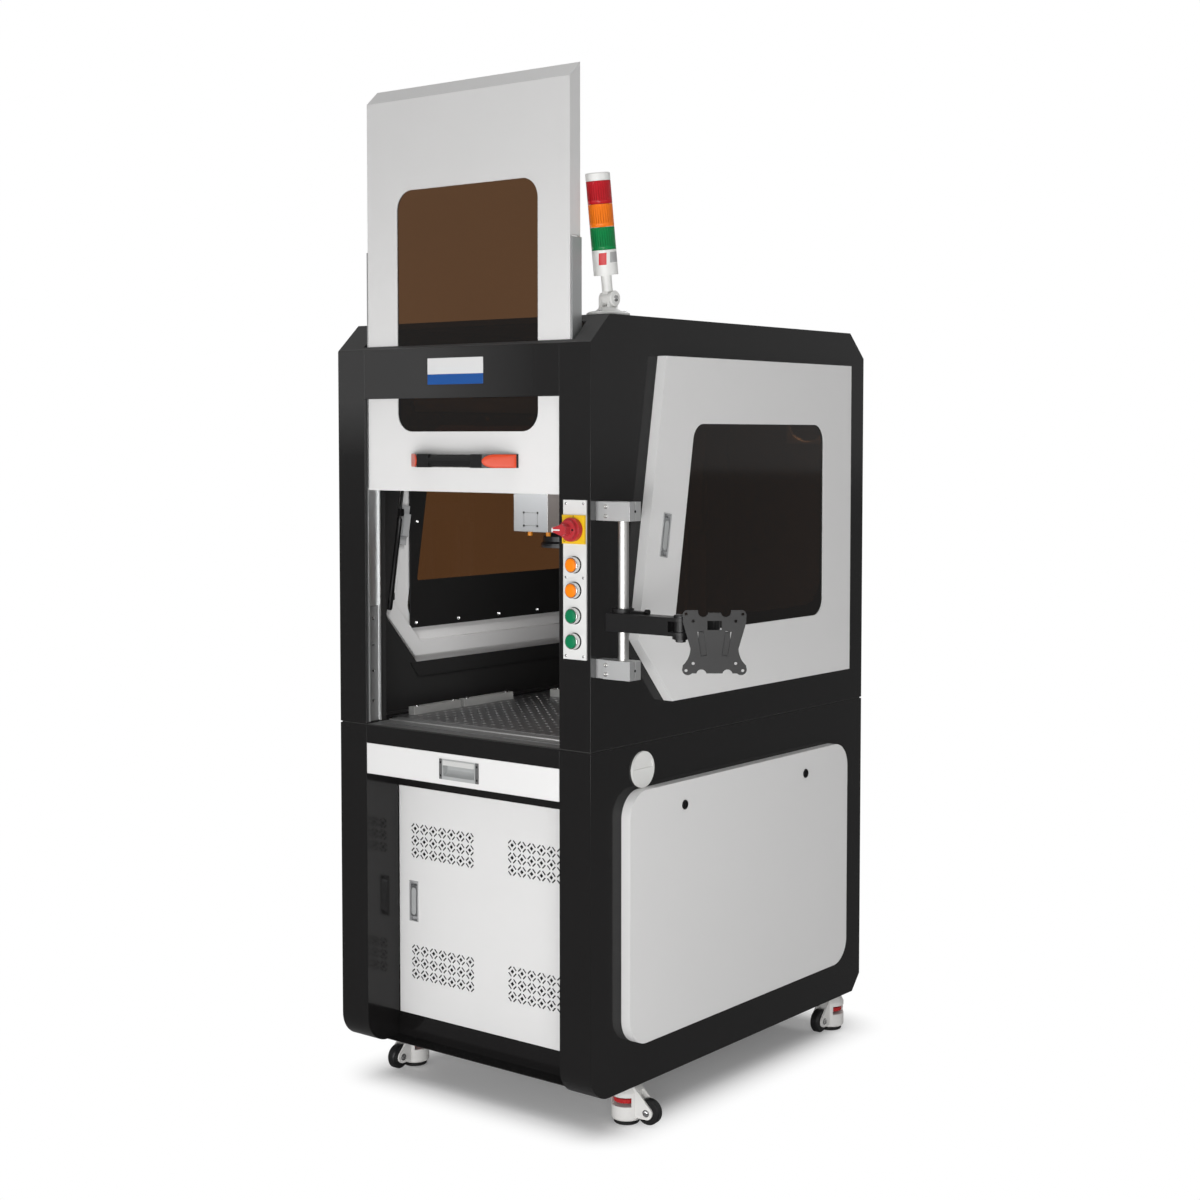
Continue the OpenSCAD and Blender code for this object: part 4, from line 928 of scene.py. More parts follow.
def skin(rings: np.ndarray, loop: bool = False) -> Shape:
    """A closed surface through rings of points.

    Quads join point (i, j) to (i, j+1), (i+1, j+1) and (i+1, j), round each ring;
    each end closes on its ring's own middle, and a loop joins the last ring to the first.

    Args:
        rings: an array of rings by points by x, y, z.
        loop: whether the rings themselves run in a circle.

    Returns:
        Points and faces.
    """
    rows, count = rings.shape[:2]
    points = rings.reshape(-1, 3)
    index = np.arange(rows * count).reshape(rows, count)
    after = np.roll(index, -1, 1)
    if loop:
        above, beside = np.roll(index, -1, 0), np.roll(after, -1, 0)
        return points, np.stack([index, after, beside, above], -1).reshape(-1, 4).tolist()
    faces = np.stack([index[:-1], after[:-1], after[1:], index[1:]], -1).reshape(-1, 4).tolist()
    for ring, first, second in ((0, after, index), (-1, index, after)):
        points = np.vstack([points, rings[ring].mean(0)])
        hub = np.full(count, len(points) - 1)
        faces += np.stack([hub, first[ring], second[ring]], -1).tolist()
    return points, faces


def raised(outlines: list[np.ndarray], heights: list[float]) -> np.ndarray:
    """Outlines of equal length, each lifted to its own height.

    Args:
        outlines: arrays of x, y.
        heights: the height of each.

    Returns:
        An array of rings.
    """
    return np.stack([np.column_stack([o, np.full(len(o), h)]) for o, h in zip(outlines, heights)])


def loft(outlines: list[np.ndarray], heights: list[float]) -> Shape:
    """A closed body through outlines of equal length, each at its own height."""
    return skin(raised(outlines, heights))


def turned(profile: Profile, count: int = 32) -> Shape:
    """A turned part: its profile of radius and height carried round the z axis.

    Args:
        profile: pairs of radius and height, from one end to the other.
        count: steps round.

    Returns:
        Points and faces.
    """
    return loft([circle(r, count) for r, _ in profile], [h for _, h in profile])


def hoop(profile: Profile, count: int = 32) -> Shape:
    """A turned ring: a closed profile of radius and height carried round the z axis.

    Args:
        profile: pairs of radius and height, up the outside and down the inside.
        count: steps round.

    Returns:
        Points and faces.
    """
    return skin(raised([circle(r, count) for r, _ in profile], [h for _, h in profile]), loop=True)


def border(outer: np.ndarray, inner: np.ndarray, thickness: float, ease: float = 0.0) -> Shape:
    """A flat frame between two outlines of equal length, its outer edge eased.

    Args:
        outer: its outer outline.
        inner: its inner outline.
        thickness: its thickness.
        ease: how far the upper edges are drawn in.

    Returns:
        Points and faces, from height 0 to the thickness.
    """
    share = ease / max(1e-6, float(np.abs(outer - inner).max()))
    first, last = outer + (inner - outer) * share, inner + (outer - inner) * share
    wall = thickness - ease
    rings = raised([outer, outer, first, last, inner, inner], [0, wall, thickness, thickness, wall, 0])
    return skin(rings, loop=True)


def slab(outline: np.ndarray, thickness: float, ease: float = 0.0) -> Shape:
    """A flat plate: its outline carried through its thickness, drawn in at both eased edges.

    Args:
        outline: an array of x, y.
        thickness: its thickness.
        ease: how far each edge is drawn in.

    Returns:
        Points and faces, from height 0 to the thickness.
    """
    if not ease:
        return loft([outline, outline], [0.0, thickness])
    middle = outline.mean(0)
    spread = np.abs(outline - middle).max(0)
    inner = middle + (outline - middle) * (1 - ease / spread)
    return loft([inner, outline, outline, inner], [0.0, ease, thickness - ease, thickness])


def rod(path: np.ndarray, radii: float | np.ndarray, count: int = 16, beside: Vec = (0.0, 0.0, 1.0)) -> Shape:
    """A round rod along a path.

    At each point a circle stands square to the path: its two axes are the path's
    direction crossed with a fixed direction, and that crossed with the path again.

    Args:
        path: points of its middle line.
        radii: one radius, or one for each point.
        count: steps round.
        beside: a direction that the path never takes.

    Returns:
        Points and faces.
    """
    path = np.asarray(path, float)
    radii = np.broadcast_to(np.asarray(radii, float), len(path))
    ahead = np.gradient(path, axis=0)
    ahead /= np.linalg.norm(ahead, axis=1, keepdims=True)
    side = np.cross(ahead, np.asarray(beside, float))
    side /= np.linalg.norm(side, axis=1, keepdims=True)
    over = np.cross(ahead, side)
    ring = circle(1.0, count)
    rings = path[:, None] + radii[:, None, None] * (
        ring[None, :, :1] * side[:, None] + ring[None, :, 1:] * over[:, None])
    return skin(rings)


def copies(shape: Shape, places: object) -> Shape:
    """One shape repeated at many places, as a single set of points and faces.

    Args:
        shape: points and faces.
        places: rows of x, y, z shifts.

    Returns:
        Points and faces.
    """
    points, faces = shape
    shifts = np.asarray(places, float).reshape(-1, 3)
    every = (points[None] + shifts[:, None]).reshape(-1, 3)
    shifted = [[p + k * len(points) for p in face] for k in range(len(shifts)) for face in faces]
    return every, shifted


def join(*shapes: Shape) -> Shape:
    """Several shapes as a single set of points and faces.

    Args:
        shapes: points and faces of each.

    Returns:
        Points and faces.
    """
    points, faces, base = [], [], 0
    for p, f in shapes:
        points.append(p)
        faces += [[i + base for i in face] for face in f]
        base += len(p)
    return np.vstack(points), faces


def moved(shape: Shape, place: Vec = (0, 0, 0), turns: tuple[tuple[Axis, float], ...] = ()) -> Shape:
    """A shape turned and then shifted.

    Args:
        shape: points and faces.
        place: the shift.
        turns: turns, one after another.

    Returns:
        Points and faces.
    """
    points, faces = shape
    for axis, degrees in turns:
        points = turn(points, axis, degrees)
    return points + np.asarray(place, float), faces


def laid(shape: Shape, facing: Facing, *places: Vec) -> Shape:
    """A fitting turned to face a way and set at each of its places.

    Args:
        shape: points and faces, facing up.
        facing: the way it faces.
        places: where its foot stands.

    Returns:
        Points and faces.
    """
    return copies(moved(shape, turns=facing.value), places)


def mirrored(shape: Shape) -> Shape:
    """A shape seen in a mirror across x, its faces still outward."""
    points, faces = shape
    return points * np.array([-1.0, 1.0, 1.0]), [face[::-1] for face in faces]


def cap_screw(radius: float, height: float) -> Shape:
    """A button-head screw with a hexagon socket: circles rising over a dome, then a hexagon sunk in it.

    Args:
        radius: the head's radius.
        height: the head's height.

    Returns:
        Points and faces, seated on height 0.
    """
    socket = hexagon(radius)
    dome = [circle(radius * share, 24) for share in (1.0, 0.97, 0.78)]
    levels = [height * share for share in (0.0, 0.45, 0.88, 1.0, 0.98, 0.35)]
    return loft([*dome, socket * 1.1, socket, socket], levels)


def pan_screw(radius: float, height: float) -> Shape:
    """A pan-head screw with a crossed drive: circles rising over a dome, then a cross sunk in it.

    Args:
        radius: the head's radius.
        height: the head's height.

    Returns:
        Points and faces, seated on height 0.
    """
    drive = star(radius * 0.62, radius * 0.30)
    dome = [circle(radius * share) for share in (1.0, 0.96, 0.74)]
    return loft([*dome, drive, drive * 0.8], [height * share for share in (0.0, 0.5, 0.93, 1.0, 0.35)])


def hex_bolt(width: float, height: float) -> Shape:
    """A hexagon bolt head on its washer: two rising circles, then a hexagon drawn in at its top.

    Args:
        width: width across its flats.
        height: height of head and washer.

    Returns:
        Points and faces, seated on height 0.
    """
    head, washer = hexagon(width), circle(width * 0.72, 24)
    levels = [height * share for share in (0.0, 0.22, 0.23, 0.88, 1.0)]
    return loft([washer, washer, head, head, head * 0.86], levels)


# ---------------------------------------------------------------- machine


@dataclass(frozen=True)
class Paddle:
    """The looks of a flush paddle latch, alike on all three doors.

    Attributes:
        oval: width, height and corner radius of the cover on the paddle.
        stand: how far the cover's foot stands before the door's face.
    """

    dish: Pair = (12.1, 42.1)
    grey: Rgb = (0.42, 0.425, 0.43)
    oval: Vec = (13.0, 57.0, 6.4)
    thickness: float = 1.0
    stand: float = 0.5

    def cover(self) -> Shape:
        """The oval cover, facing up, eased over half its thickness."""
        return slab(rounded(*self.oval), self.thickness, self.thickness / 2)


PADDLE = Paddle()


@dataclass
class Cabinet:
    """The sheet-metal cabinet: frames, panels, roof, seam and their small fittings.

    Attributes:
        half: half its width.
        seam: height of the joint between its lower and upper part.
        opening: half the width of its front openings.
        lining: how far inside its side, front, rear, deck and roof faces the chamber's coat starts; that coat
            is a lighter black, painted light for the light that fills the chamber.
        sheen_across: start, end and fade of the painted sheen on the header's left end, a lighter black
            standing in for a reflection, along x.
        plate_blue: share of the plate's height that its blue band takes.
        lock_rim: profile of their rim, its radii as shares of theirs.
        lock_key: width, height and corner of the key slot's foot and top, as shares of their radius.
        duct: middle of the extraction spigot's flange, x and z.
        gland: middle of the cable gland, x and z.
    """

    half: float = 326.0
    depth: float = 974.0
    seam: float = 745.0
    roof: float = 1552.0
    opening: float = 252.0
    lining: Row = (1.0, 1.0, 2.8, 1.6, 1.2)
    # The chamber's lighter black: painted light for the light that fills the chamber.
    inner_black_painted_light: Rgb = (0.028, 0.0275, 0.0275)
    header: Pair = (-5.0, 3.0)
    sheen_across: Vec = (-700.0, 60.0, 300.0)
    sheen_up: Vec = (1340.0, 1900.0, 110.0)
    painted_sheen_black: Rgb = (0.044, 0.0435, 0.0435)
    edge: float = 3.0
    front_edge: float = 2.75
    ledge: Pair = (2.8, 92.0)
    bare: Rgb = (0.075, 0.074, 0.072)
    ledge_grey: Rgb = (0.20, 0.20, 0.20)
    plate_low: Pair = (-78.0, 1427.0)
    plate_high: Pair = (66.0, 1478.0)
    plate_blue: float = 0.39
    lock_y: Row = (269.0, 709.0)
    lock_z: float = 612.0
    lock_radius: float = 9.3
    lock_rim: Profile = ((0.9, -3.0), (1.0, -0.2), (1.0, 1.2), (0.86, 2.0), (0.80, 1.6), (0.78, -0.6))
    lock_key: tuple[Vec, ...] = ((0.34, 1.05, 0.16), (0.26, 0.95, 0.12))
    panel_face: float = 347.0
    back_face: float = 972.0
    back_levels: Row = (135.0, 435.0, 731.0, 761.0, 1120.0, 1482.0)
    back_inset: float = 14.0
    duct: Pair = (176.0, 1362.0)
    duct_screws: float = 58.0
    damper: Profile = (
        (0.3, -1.0), (44.0, -1.0), (45.5, -0.4), (45.5, 0.4), (44.0, 1.0), (9.0, 1.0), (9.0, 3.0), (0.3, 3.0))
    damper_in: float = 11.0
    damper_turn: float = 13.0
    gland: Pair = (-236.0, 181.0)

    def build(self) -> None:
        """Dresses the cabinet's nodes and adds its fittings."""
        PAINTS.dress(BLACK_COAT, "base_pan", "lower_left", "lower_right", "drawer_housing")
        side, front, rear, foot, top = self.lining
        # Painted light: inside the chamber the black coat is painted lighter, as the light that fills it.
        chamber = box_patch(
            (side - self.half, front, self.seam + foot),
            (self.half - side, self.depth - rear, self.roof - top),
            self.inner_black_painted_light, gloss=0.42,
        )
        # Painted sheen: the header's left end is painted a lighter black, as a reflection on its front.
        sheen = (
            across(Axis.X, *self.sheen_across), across(Axis.Y, *self.header), across(Axis.Z, *self.sheen_up))
        lined = replace(
            BLACK_COAT, name="black_coat_satin_inside", patches=(chamber, Patch(sheen, self.painted_sheen_black)))
        PAINTS.dress(lined, "upper_left", "upper_right", "top_cover", "back_panels")
        PAINTS.dress(self.deck_finish(), "deck")
        PAINTS.dress(GALVANISED, "duct_spigot")
        PAINTS.dress(WHITE_COAT, "service_panels")
        PAINTS.dress(WHITE_PLASTIC, "cable_cap")
        self.name_plate()
        self.locks()
        self.back_fixings()
        self.spigot_fixings()
        self.gland_nut()

    def deck_finish(self) -> Finish:
        """The deck's black coat, with its bare cut edges and the grey ledge inside the opening.

        Returns:
            The finish.
        """
        half, inner, depth = self.half, self.half - self.edge, self.depth
        low, high = self.seam - self.edge, self.seam + self.edge
        ledge = box_patch(
            (-self.opening, self.ledge[0], low), (self.opening, self.ledge[1], high),
            self.ledge_grey, 0.6, 0.40)
        edges = (
            ((inner, 0, low), (half, depth, high)),
            ((-half, 0, low), (-inner, depth, high)),
            ((-half, 0, low), (half, self.front_edge, high)),
        )
        bare = (box_patch(start, end, self.bare, 0.7, 0.4) for start, end in edges)
        return replace(BLACK_COAT, name="deck_black_with_bare_edges", patches=(ledge, *bare))

    def name_plate(self) -> None:
        """The blank plate on the header: a thin eased slab with a blue band along its foot."""
        low, high = np.array(self.plate_low), np.array(self.plate_high)
        width, height = high - low
        middle = ((low[0] + high[0]) / 2, 0.0, (low[1] + high[1]) / 2)
        band = Patch((across(Axis.Z, 0.0, low[1] + height * self.plate_blue),), (0.0065, 0.082, 0.33))
        finish = Finish(
            "name_plate_enamel", "white_plastic", (0.76, 0.76, 0.76), 0.24,
            grain=Grain.SMOOTH, relief=0.00001, tone_shift=0.01, coat=0.3, edge=0.0003, patches=(band,),
        )
        plate = slab(rounded(width, height, 1.0, 4), 0.9, 0.15)
        fitting("name_plate", "cabinet", finish, plate, Facing.FRONT, middle)

    def locks(self) -> None:
        """The quarter-turn locks: a stepped rim round a sunk face with a key slot."""
        r = self.lock_radius
        rim = turned([(r * share, height) for share, height in self.lock_rim])
        key = loft([rounded(*(r * share for share in shares)) for shares in self.lock_key], [-0.6, 1.1])
        places = [(self.panel_face, y, self.lock_z) for y in self.lock_y]
        right = laid(join(rim, key), Facing.RIGHT, *places)
        mesh_piece("panel_locks", join(right, mirrored(right)), "cabinet", DARK_SCREW)

    def back_fixings(self) -> None:
        """The screws round both back panels."""
        end = self.half - self.back_inset
        places = [(x, self.back_face, z) for x in (-end, 0.0, end) for z in self.back_levels]
        fitting("back_screws", "cabinet", CHROME, pan_screw(4.4, 2.4), Facing.BACK, *places)

    def gland_nut(self) -> None:
        """The cable gland's hexagonal nut."""
        nut = border(hexagon(34), circle(13.05, 24), 7.0, 1.0)
        x, z = self.gland
        fitting("gland_nut", "cabinet", NYLON, nut, Facing.BACK, (x, self.back_face, z))

    def spigot_fixings(self) -> None:
        """The extraction spigot's flange screws and its damper disc, turned ajar."""
        x, z = self.duct
        signs = (-self.duct_screws, self.duct_screws)
        corners = [(x + a, self.depth, z + b) for a in signs for b in signs]
        fitting("duct_screws", "cabinet", CHROME, pan_screw(4.0, 2.2), Facing.BACK, *corners)
        turns = (*Facing.BACK.value, (Axis.Z, self.damper_turn))
        disc = moved(turned(self.damper, 48), (x, self.depth + self.damper_in, z), turns)
        mesh_piece("duct_damper", disc, "cabinet", DARK_SCREW)


@dataclass
class LiftDoor:
    """The front door that slides up, its pane, bar handle and slides.

    Attributes:
        window: middle of its window, x and z.
        grip: middle of the bar handle, x and z.
        sleeve: place along the bar, from its middle, and radius of each step of the sleeve's left half.
        leg_foot: where a leg's outer slope starts, sideways from the middle and y.
        cover_dome: how much a cover is drawn in, as a share, and how high it stands there.
        webs: x of the inner faces of the outer slides' webs.
    """

    # Painted shade: the door's upper part is painted a darker white where less light reaches it; shaded gives
    # that band's start, end and fade up z.
    shaded: Vec = (1750.0, 2300.0, 900.0)
    painted_shade_white: Rgb = (0.60, 0.596, 0.592)
    window: Pair = (13.0, 1572.0)
    window_size: Pair = (362.0, 472.0)
    window_corner: float = 38.0
    pane_back: float = 15.0
    frame_width: float = 18.0
    frame_gap: float = 2.0
    frame_sheet: float = 2.0
    frame_screws: tuple[Row, ...] = ((-150.0, -50.0, 50.0, 150.0), (-165.0, -55.0, 55.0, 165.0))
    screw_out: float = 10.0
    grip: Pair = (11.0, 1280.0)
    grip_out: float = 25.0
    sleeve: Profile = (
        (-78.0, 11.1), (-77.0, 12.6), (-72.0, 12.7), (-71.0, 12.0), (-69.5, 12.0), (-68.5, 12.8))
    leg_foot: Pair = (135.0, 3.0)
    leg_nose: Pair = (84.0, -38.0)
    cover_width: float = 25.6
    cover_nose: float = 26.0
    cover_foot: Profile = ((0.4, 1.2), (0.6, 0.3), (1.4, 0.0))
    cover_dome: Profile = ((1.0, -0.4), (1.0, 1.0), (0.955, 1.9), (0.86, 2.4), (0.6, 2.7))
    slide_y: float = 24.0
    slide_half: float = 15.0
    webs: Pair = (-255.5, 277.5)
    # Painted grey for the ball cage and the shade between the slides' lips.
    web_cage_and_shade_grey: Rgb = (0.26, 0.26, 0.26)
    rivet: Profile = ((3.4, 0.0), (3.3, 0.2), (2.6, 0.32), (0.2, 0.34))
    rivet_levels: Row = (790.0, 852.0, 905.0, 958.0)

    def build(self) -> None:
        """Dresses the door's nodes and adds its fittings."""
        # Painted shade: the upper part of the door is painted darker.
        upper = Patch((across(Axis.Z, *self.shaded),), self.painted_shade_white)
        PAINTS.dress(replace(WHITE_COAT, name="lift_door_white", patches=(upper,)), "lift_door")
        PAINTS.dress(AMBER_PANE, "lift_glass")
        PAINTS.dress(HANDLE_BLACK, "lift_handle")
        PAINTS.dress(replace(GALVANISED, name="slide_channel_zinc", patches=self.channels()), "slide_outers")
        PAINTS.dress(GALVANISED, "slide_middles", "slide_inners")
        self.pane_frame()
        self.grip_sleeve()
        self.grip_covers()
        self.slide_rivets()

    def channels(self) -> tuple[Patch, ...]:
        """The webs inside the outer slides, painted grey for the dark ball cage and the shade in the channel,
        as patches.

        Returns:
            One patch for each web.
        """
        left, right = self.webs
        front, back = self.slide_y - self.slide_half, self.slide_y + self.slide_half
        spans = ((left - 3, left + 0.2), (right - 0.2, right + 3))
        return tuple(box_patch((a, front, 0), (b, back, 2100), self.web_cage_and_shade_grey, 0.6, 0.42) for a, b in spans)

    def pane_frame(self) -> None:
        """The steel frame that holds the pane from behind, with its screws."""
        width, height = self.window_size
        gap, reach = self.frame_gap, self.frame_width
        inner = rounded(width + 2 * gap, height + 2 * gap, self.window_corner + gap)
        outer = rounded(width + 2 * reach, height + 2 * reach, 10)
        x, z = self.window
        frame = border(outer, inner, self.frame_sheet, 0.5)
        fitting("lift_pane_frame", "lift", BLACK_SHEET, frame, Facing.BACK, (x, self.pane_back, z))
        side, end = width / 2 + self.screw_out, height / 2 + self.screw_out
        seat = self.pane_back + self.frame_sheet
        beside, along = self.frame_screws
        places = [(x + a, seat, z + b) for a in beside for b in (-end, end)]
        places += [(x + a, seat, z + b) for a in (-side, side) for b in along]
        fitting("lift_pane_screws", "lift", CHROME, cap_screw(4.0, 2.2), Facing.BACK, *places)

    def grip_sleeve(self) -> None:
        """The moulded sleeve on the bar, which makes it as thick as the legs, with a groove near each end."""
        x, z = self.grip
        stations, girth = np.array(self.sleeve).T
        path = x + np.concatenate([stations, -stations[::-1]])
        points = np.column_stack([path, np.full(len(path), -self.grip_out), np.full(len(path), z)])
        mesh_piece("grip_sleeve", rod(points, np.concatenate([girth, girth[::-1]]), 40), "lift", HANDLE_BLACK)

    def cover_outline(self, length: float) -> np.ndarray:
        """A cover's outline: an eased square end, and half an ellipse at the nose.

        Args:
            length: its length.

        Returns:
            An array of x, y, anticlockwise.
        """
        half = self.cover_width / 2
        sweep = np.linspace(-np.pi / 2, np.pi / 2, 25)
        nose = (length - self.cover_nose + self.cover_nose * np.cos(sweep), half * np.sin(sweep))
        end = np.array([(along, half - beside) for along, beside in self.cover_foot])
        return np.vstack([end * (1, -1), np.stack(nose, 1), end[::-1]])

    def grip_covers(self) -> None:
        """The orange covers on the handle's slanted legs.

        Each is a domed slab laid on the slope: its outline is drawn in towards its
        middle as it rises, and its plane's axes are the slope's direction, the
        vertical and the slope's normal.
        """
        foot, nose = np.array(self.leg_foot), np.array(self.leg_nose)
        length = float(np.linalg.norm(nose - foot))
        along, down = np.append((nose - foot) / length, 0.0), np.array([0.0, 0.0, -1.0])
        outline, middle = self.cover_outline(length), np.array([length / 2, 0.0])
        drawn = [middle + (outline - middle) * share for share, _ in self.cover_dome]
        points, faces = loft(drawn, [height for _, height in self.cover_dome])
        right = (np.append(foot, 0.0) + points @ np.stack([along, down, np.cross(along, down)]), faces)
        covers = moved(join(right, mirrored(right)), (self.grip[0], 0.0, self.grip[1]))
        mesh_piece("grip_covers", covers, "lift", GRIP_ORANGE)

    def slide_rivets(self) -> None:
        """Flat rivet heads along the outer slides' webs."""
        head = turned(self.rivet, 20)
        left, right = (
            laid(head, facing, *[(web, self.slide_y, z) for z in self.rivet_levels])
            for web, facing in zip(self.webs, (Facing.RIGHT, Facing.LEFT))
        )
        mesh_piece("slide_rivets", join(left, right), "cabinet", CHROME)


@dataclass
class SideDoors:
    """The two side doors with their panes, inner frames, lock rods and latches.

    Attributes:
        toe: y and z of the lower end of the slanted front edge.
        lean: how far that edge goes back as it rises by one.
        window_in: distance of its front edge behind the door's slanted edge.
        hem_depth: distances of its faces from the door's outer face.
        rod_behind: distance of the rod behind the door's slanted edge.
        rod_steps: height and radius of each step of the rod.
    """

    # The side panes' colour is a darker copy of the amber pane's: painted shade for the dimmer look of glass
    # seen at a grazing angle.
    pane: Rgb = (0.068, 0.030, 0.0120)
    toe: Pair = (115.0, 946.0)
    lean: float = 90.0 / 533.0
    window_high: float = 1351.0
    window_rear: float = 771.0
    window_in: float = 114.0
    frame_low: Pair = (221.0, 918.0)
    frame_high: Pair = (785.0, 1379.0)
    frame_sheet: float = 3.0
    clear_low: Pair = (970.0, 1019.0)
    clear_corner: Pair = (70.0, 35.0)
    clear_round: Pair = (5.0, 35.0)
    pane_in: float = 342.0
    skin: float = 348.0
    bolt_in: float = 11.0
    bolts_low: Pair = (237.0, 774.0)
    bolts_high: Pair = (320.0, 774.0)
    bolts_side: Profile = ((241.0, 1145.0), (778.0, 1060.0), (778.0, 1240.0))
    seal: Profile = ((226.0, 816.0), (886.0, 816.0), (886.0, 847.0), (202.0, 847.0))
    seal_sheet: float = 3.0
    seal_in: float = 320.8
    hem_outer: Profile = ((862.0, 858.0), (234.0, 858.0), (140.0, 962.0), (158.0, 1066.0))
    hem_inner: Profile = ((862.0, 890.0), (250.0, 890.0), (172.0, 975.0), (190.0, 1060.0))
    hem_depth: Pair = (9.5, 2.0)
    rod_in: float = 7.0
    rod_behind: float = 34.0
    rod_steps: Profile = (
        (962.0, 4.5), (966.0, 6.5), (1152.0, 6.5), (1156.0, 4.0), (1158.0, 3.2), (1402.0, 3.2))
    guides: Vec = (990.0, 1166.0, 1385.0)
    guide_size: Row = (22.0, 16.0, 2.5, 13.0)
    guide_in: float = 15.5
    latch: Pair = (201.6, 1139.0)

    def edge(self, z: float | np.ndarray) -> float | np.ndarray:
        """The y of the slanted front edge at a height."""
        return self.toe[0] + self.lean * (z - self.toe[1])

    def build(self) -> None:
        """Dresses both doors and adds their fittings, the left ones as a mirror of the right."""
        # Painted shade: a darker copy of the amber pane for the side panes.
        pane = replace(AMBER_PANE, name="amber_side_pane", colour=self.pane, specular=1.0)
        PAINTS.dress(pane, "right_glass", "left_glass")
        PAINTS.dress(ZINC, "right_latch", "left_latch")
        white = replace(WHITE_COAT, name="side_door_white_with_latch", patches=(self.dish(),))
        PAINTS.dress(white, "right_door", "left_door")
        seal = replace(SEAL, name="grey_black_seal", colour=(0.022, 0.0215, 0.0215))
        for number, body in enumerate(("right_door", "left_door")):
            latch = body.replace("door", "latch")
            for part, shape, rides, finish in (
                ("inner_frame", self.inner_frame(number), body, BLACK_SHEET),
                ("frame_bolts", self.frame_bolts(), body, CHROME),
                ("seal", self.foot_seal(), "cabinet", seal),
                ("inner_hem", self.inner_hem(), body, WHITE_COAT),
                ("lock_rod", self.lock_rod(), body, BLACK_CAST),
                ("paddle_cover", self.paddle_cover(), latch, CUP_GREY),
            ):
                mesh_piece(f"{body}_{part}", mirrored(shape) if number else shape, rides, finish)

    def dish(self) -> Patch:
        """The latch's grey dish, which leans with the door's slanted edge.

        Returns:
            The patch.
        """
        tilt = math.atan(self.lean)
        middle = (0.0, *self.latch)
        half_width, half_height = PADDLE.dish
        spans = (
            beyond(middle, (0, math.cos(tilt), -math.sin(tilt)), -half_width, half_width),
            beyond(middle, (0, math.sin(tilt), math.cos(tilt)), -half_height, half_height),
        )
        return Patch(spans, PADDLE.grey, 0.0, 0.40)

    def inner_frame(self, number: int) -> Shape:
        """The black frame that holds the pane: square outside, slanted at the front inside.

        Args:
            number: 0 for the right door, 1 for the left.

        Returns:
            Points and faces.
        """
        (y0, z0), (y1, z1) = self.frame_low, self.frame_high
        low, top, front, rear = self.clear_low[number], self.window_high, self.window_in, self.window_rear
        small, large = self.clear_round
        outer = softened([(y0, z0), (y1, z0), (y1, z1), (y0, z1)], 4.0)
        inner = softened(
            [(self.edge(low) + front, low), (rear, low), (rear, top), (self.edge(top) + front, top)],
            [small, self.clear_corner[number], large, large],
        )
        foot = self.pane_in - self.frame_sheet
        points, faces = moved(border(outer, inner, self.frame_sheet, 0.4), (foot, 0, 0), Facing.RIGHT.value)
        points[:, 0] = foot + self.pane_in - points[:, 0]
        return points, [face[::-1] for face in faces]

    def foot_seal(self) -> Shape:
        """The rubber strip along the foot of the door's opening, inside the chamber."""
        strip = slab(softened(self.seal, 1.5), self.seal_sheet)
        return moved(strip, (self.seal_in, 0, 0), Facing.RIGHT.value)

    def inner_hem(self) -> Shape:
        """The folded stiffener along the door's foot and lower front corner, on its inner face.

        Each ring is its oblong section at one corner: outer and inner line at the
        near depth, then inner and outer line at the far one.

        Returns:
            Points and faces.
        """
        low, high = (self.skin - depth for depth in self.hem_depth)
        outer, inner = self.hem_outer, self.hem_inner
        section = ((outer, high), (inner, high), (inner, low), (outer, low))
        return skin(np.stack([np.column_stack([np.full(len(line), x), line]) for line, x in section], 1))

    def frame_bolts(self) -> Shape:
        """Button heads round the inner frame, facing into the chamber.

        Returns:
            Points and faces.
        """
        x, low, high = self.pane_in - 3.0, self.frame_low[1] + self.bolt_in, self.frame_high[1] - self.bolt_in
        places = [(x, y, low) for y in np.linspace(*self.bolts_low, 5)]
        places += [(x, y, high) for y in np.linspace(*self.bolts_high, 4)]
        places += [(x, y, z) for y, z in self.bolts_side]
        return laid(cap_screw(4.6, 2.8), Facing.LEFT, *places)

    def lock_rod(self) -> Shape:
        """The lock's rod along the slanted edge: a sleeve, the thinner rod and two guide blocks.

        Returns:
            Points and faces.
        """
        levels, radii = np.array(self.rod_steps).T
        x = np.full(len(levels), self.pane_in - self.rod_in)
        path = np.stack([x, self.edge(levels) + self.rod_behind, levels], 1)
        width, height, corner, depth = self.guide_size
        block = slab(rounded(width, height, corner), depth, 1.0)
        guides = [(self.skin - self.guide_in, self.edge(z) + self.rod_behind, z) for z in self.guides]
        return join(rod(path, radii, 16, (1.0, 0.0, 0.0)), laid(block, Facing.RIGHT, *guides))

    def paddle_cover(self) -> Shape:
        """The latch paddle's oval face."""
        turns = (*Facing.RIGHT.value, (Axis.X, -math.degrees(math.atan(self.lean))))
        return moved(PADDLE.cover(), (self.skin + PADDLE.stand, *self.latch), turns)


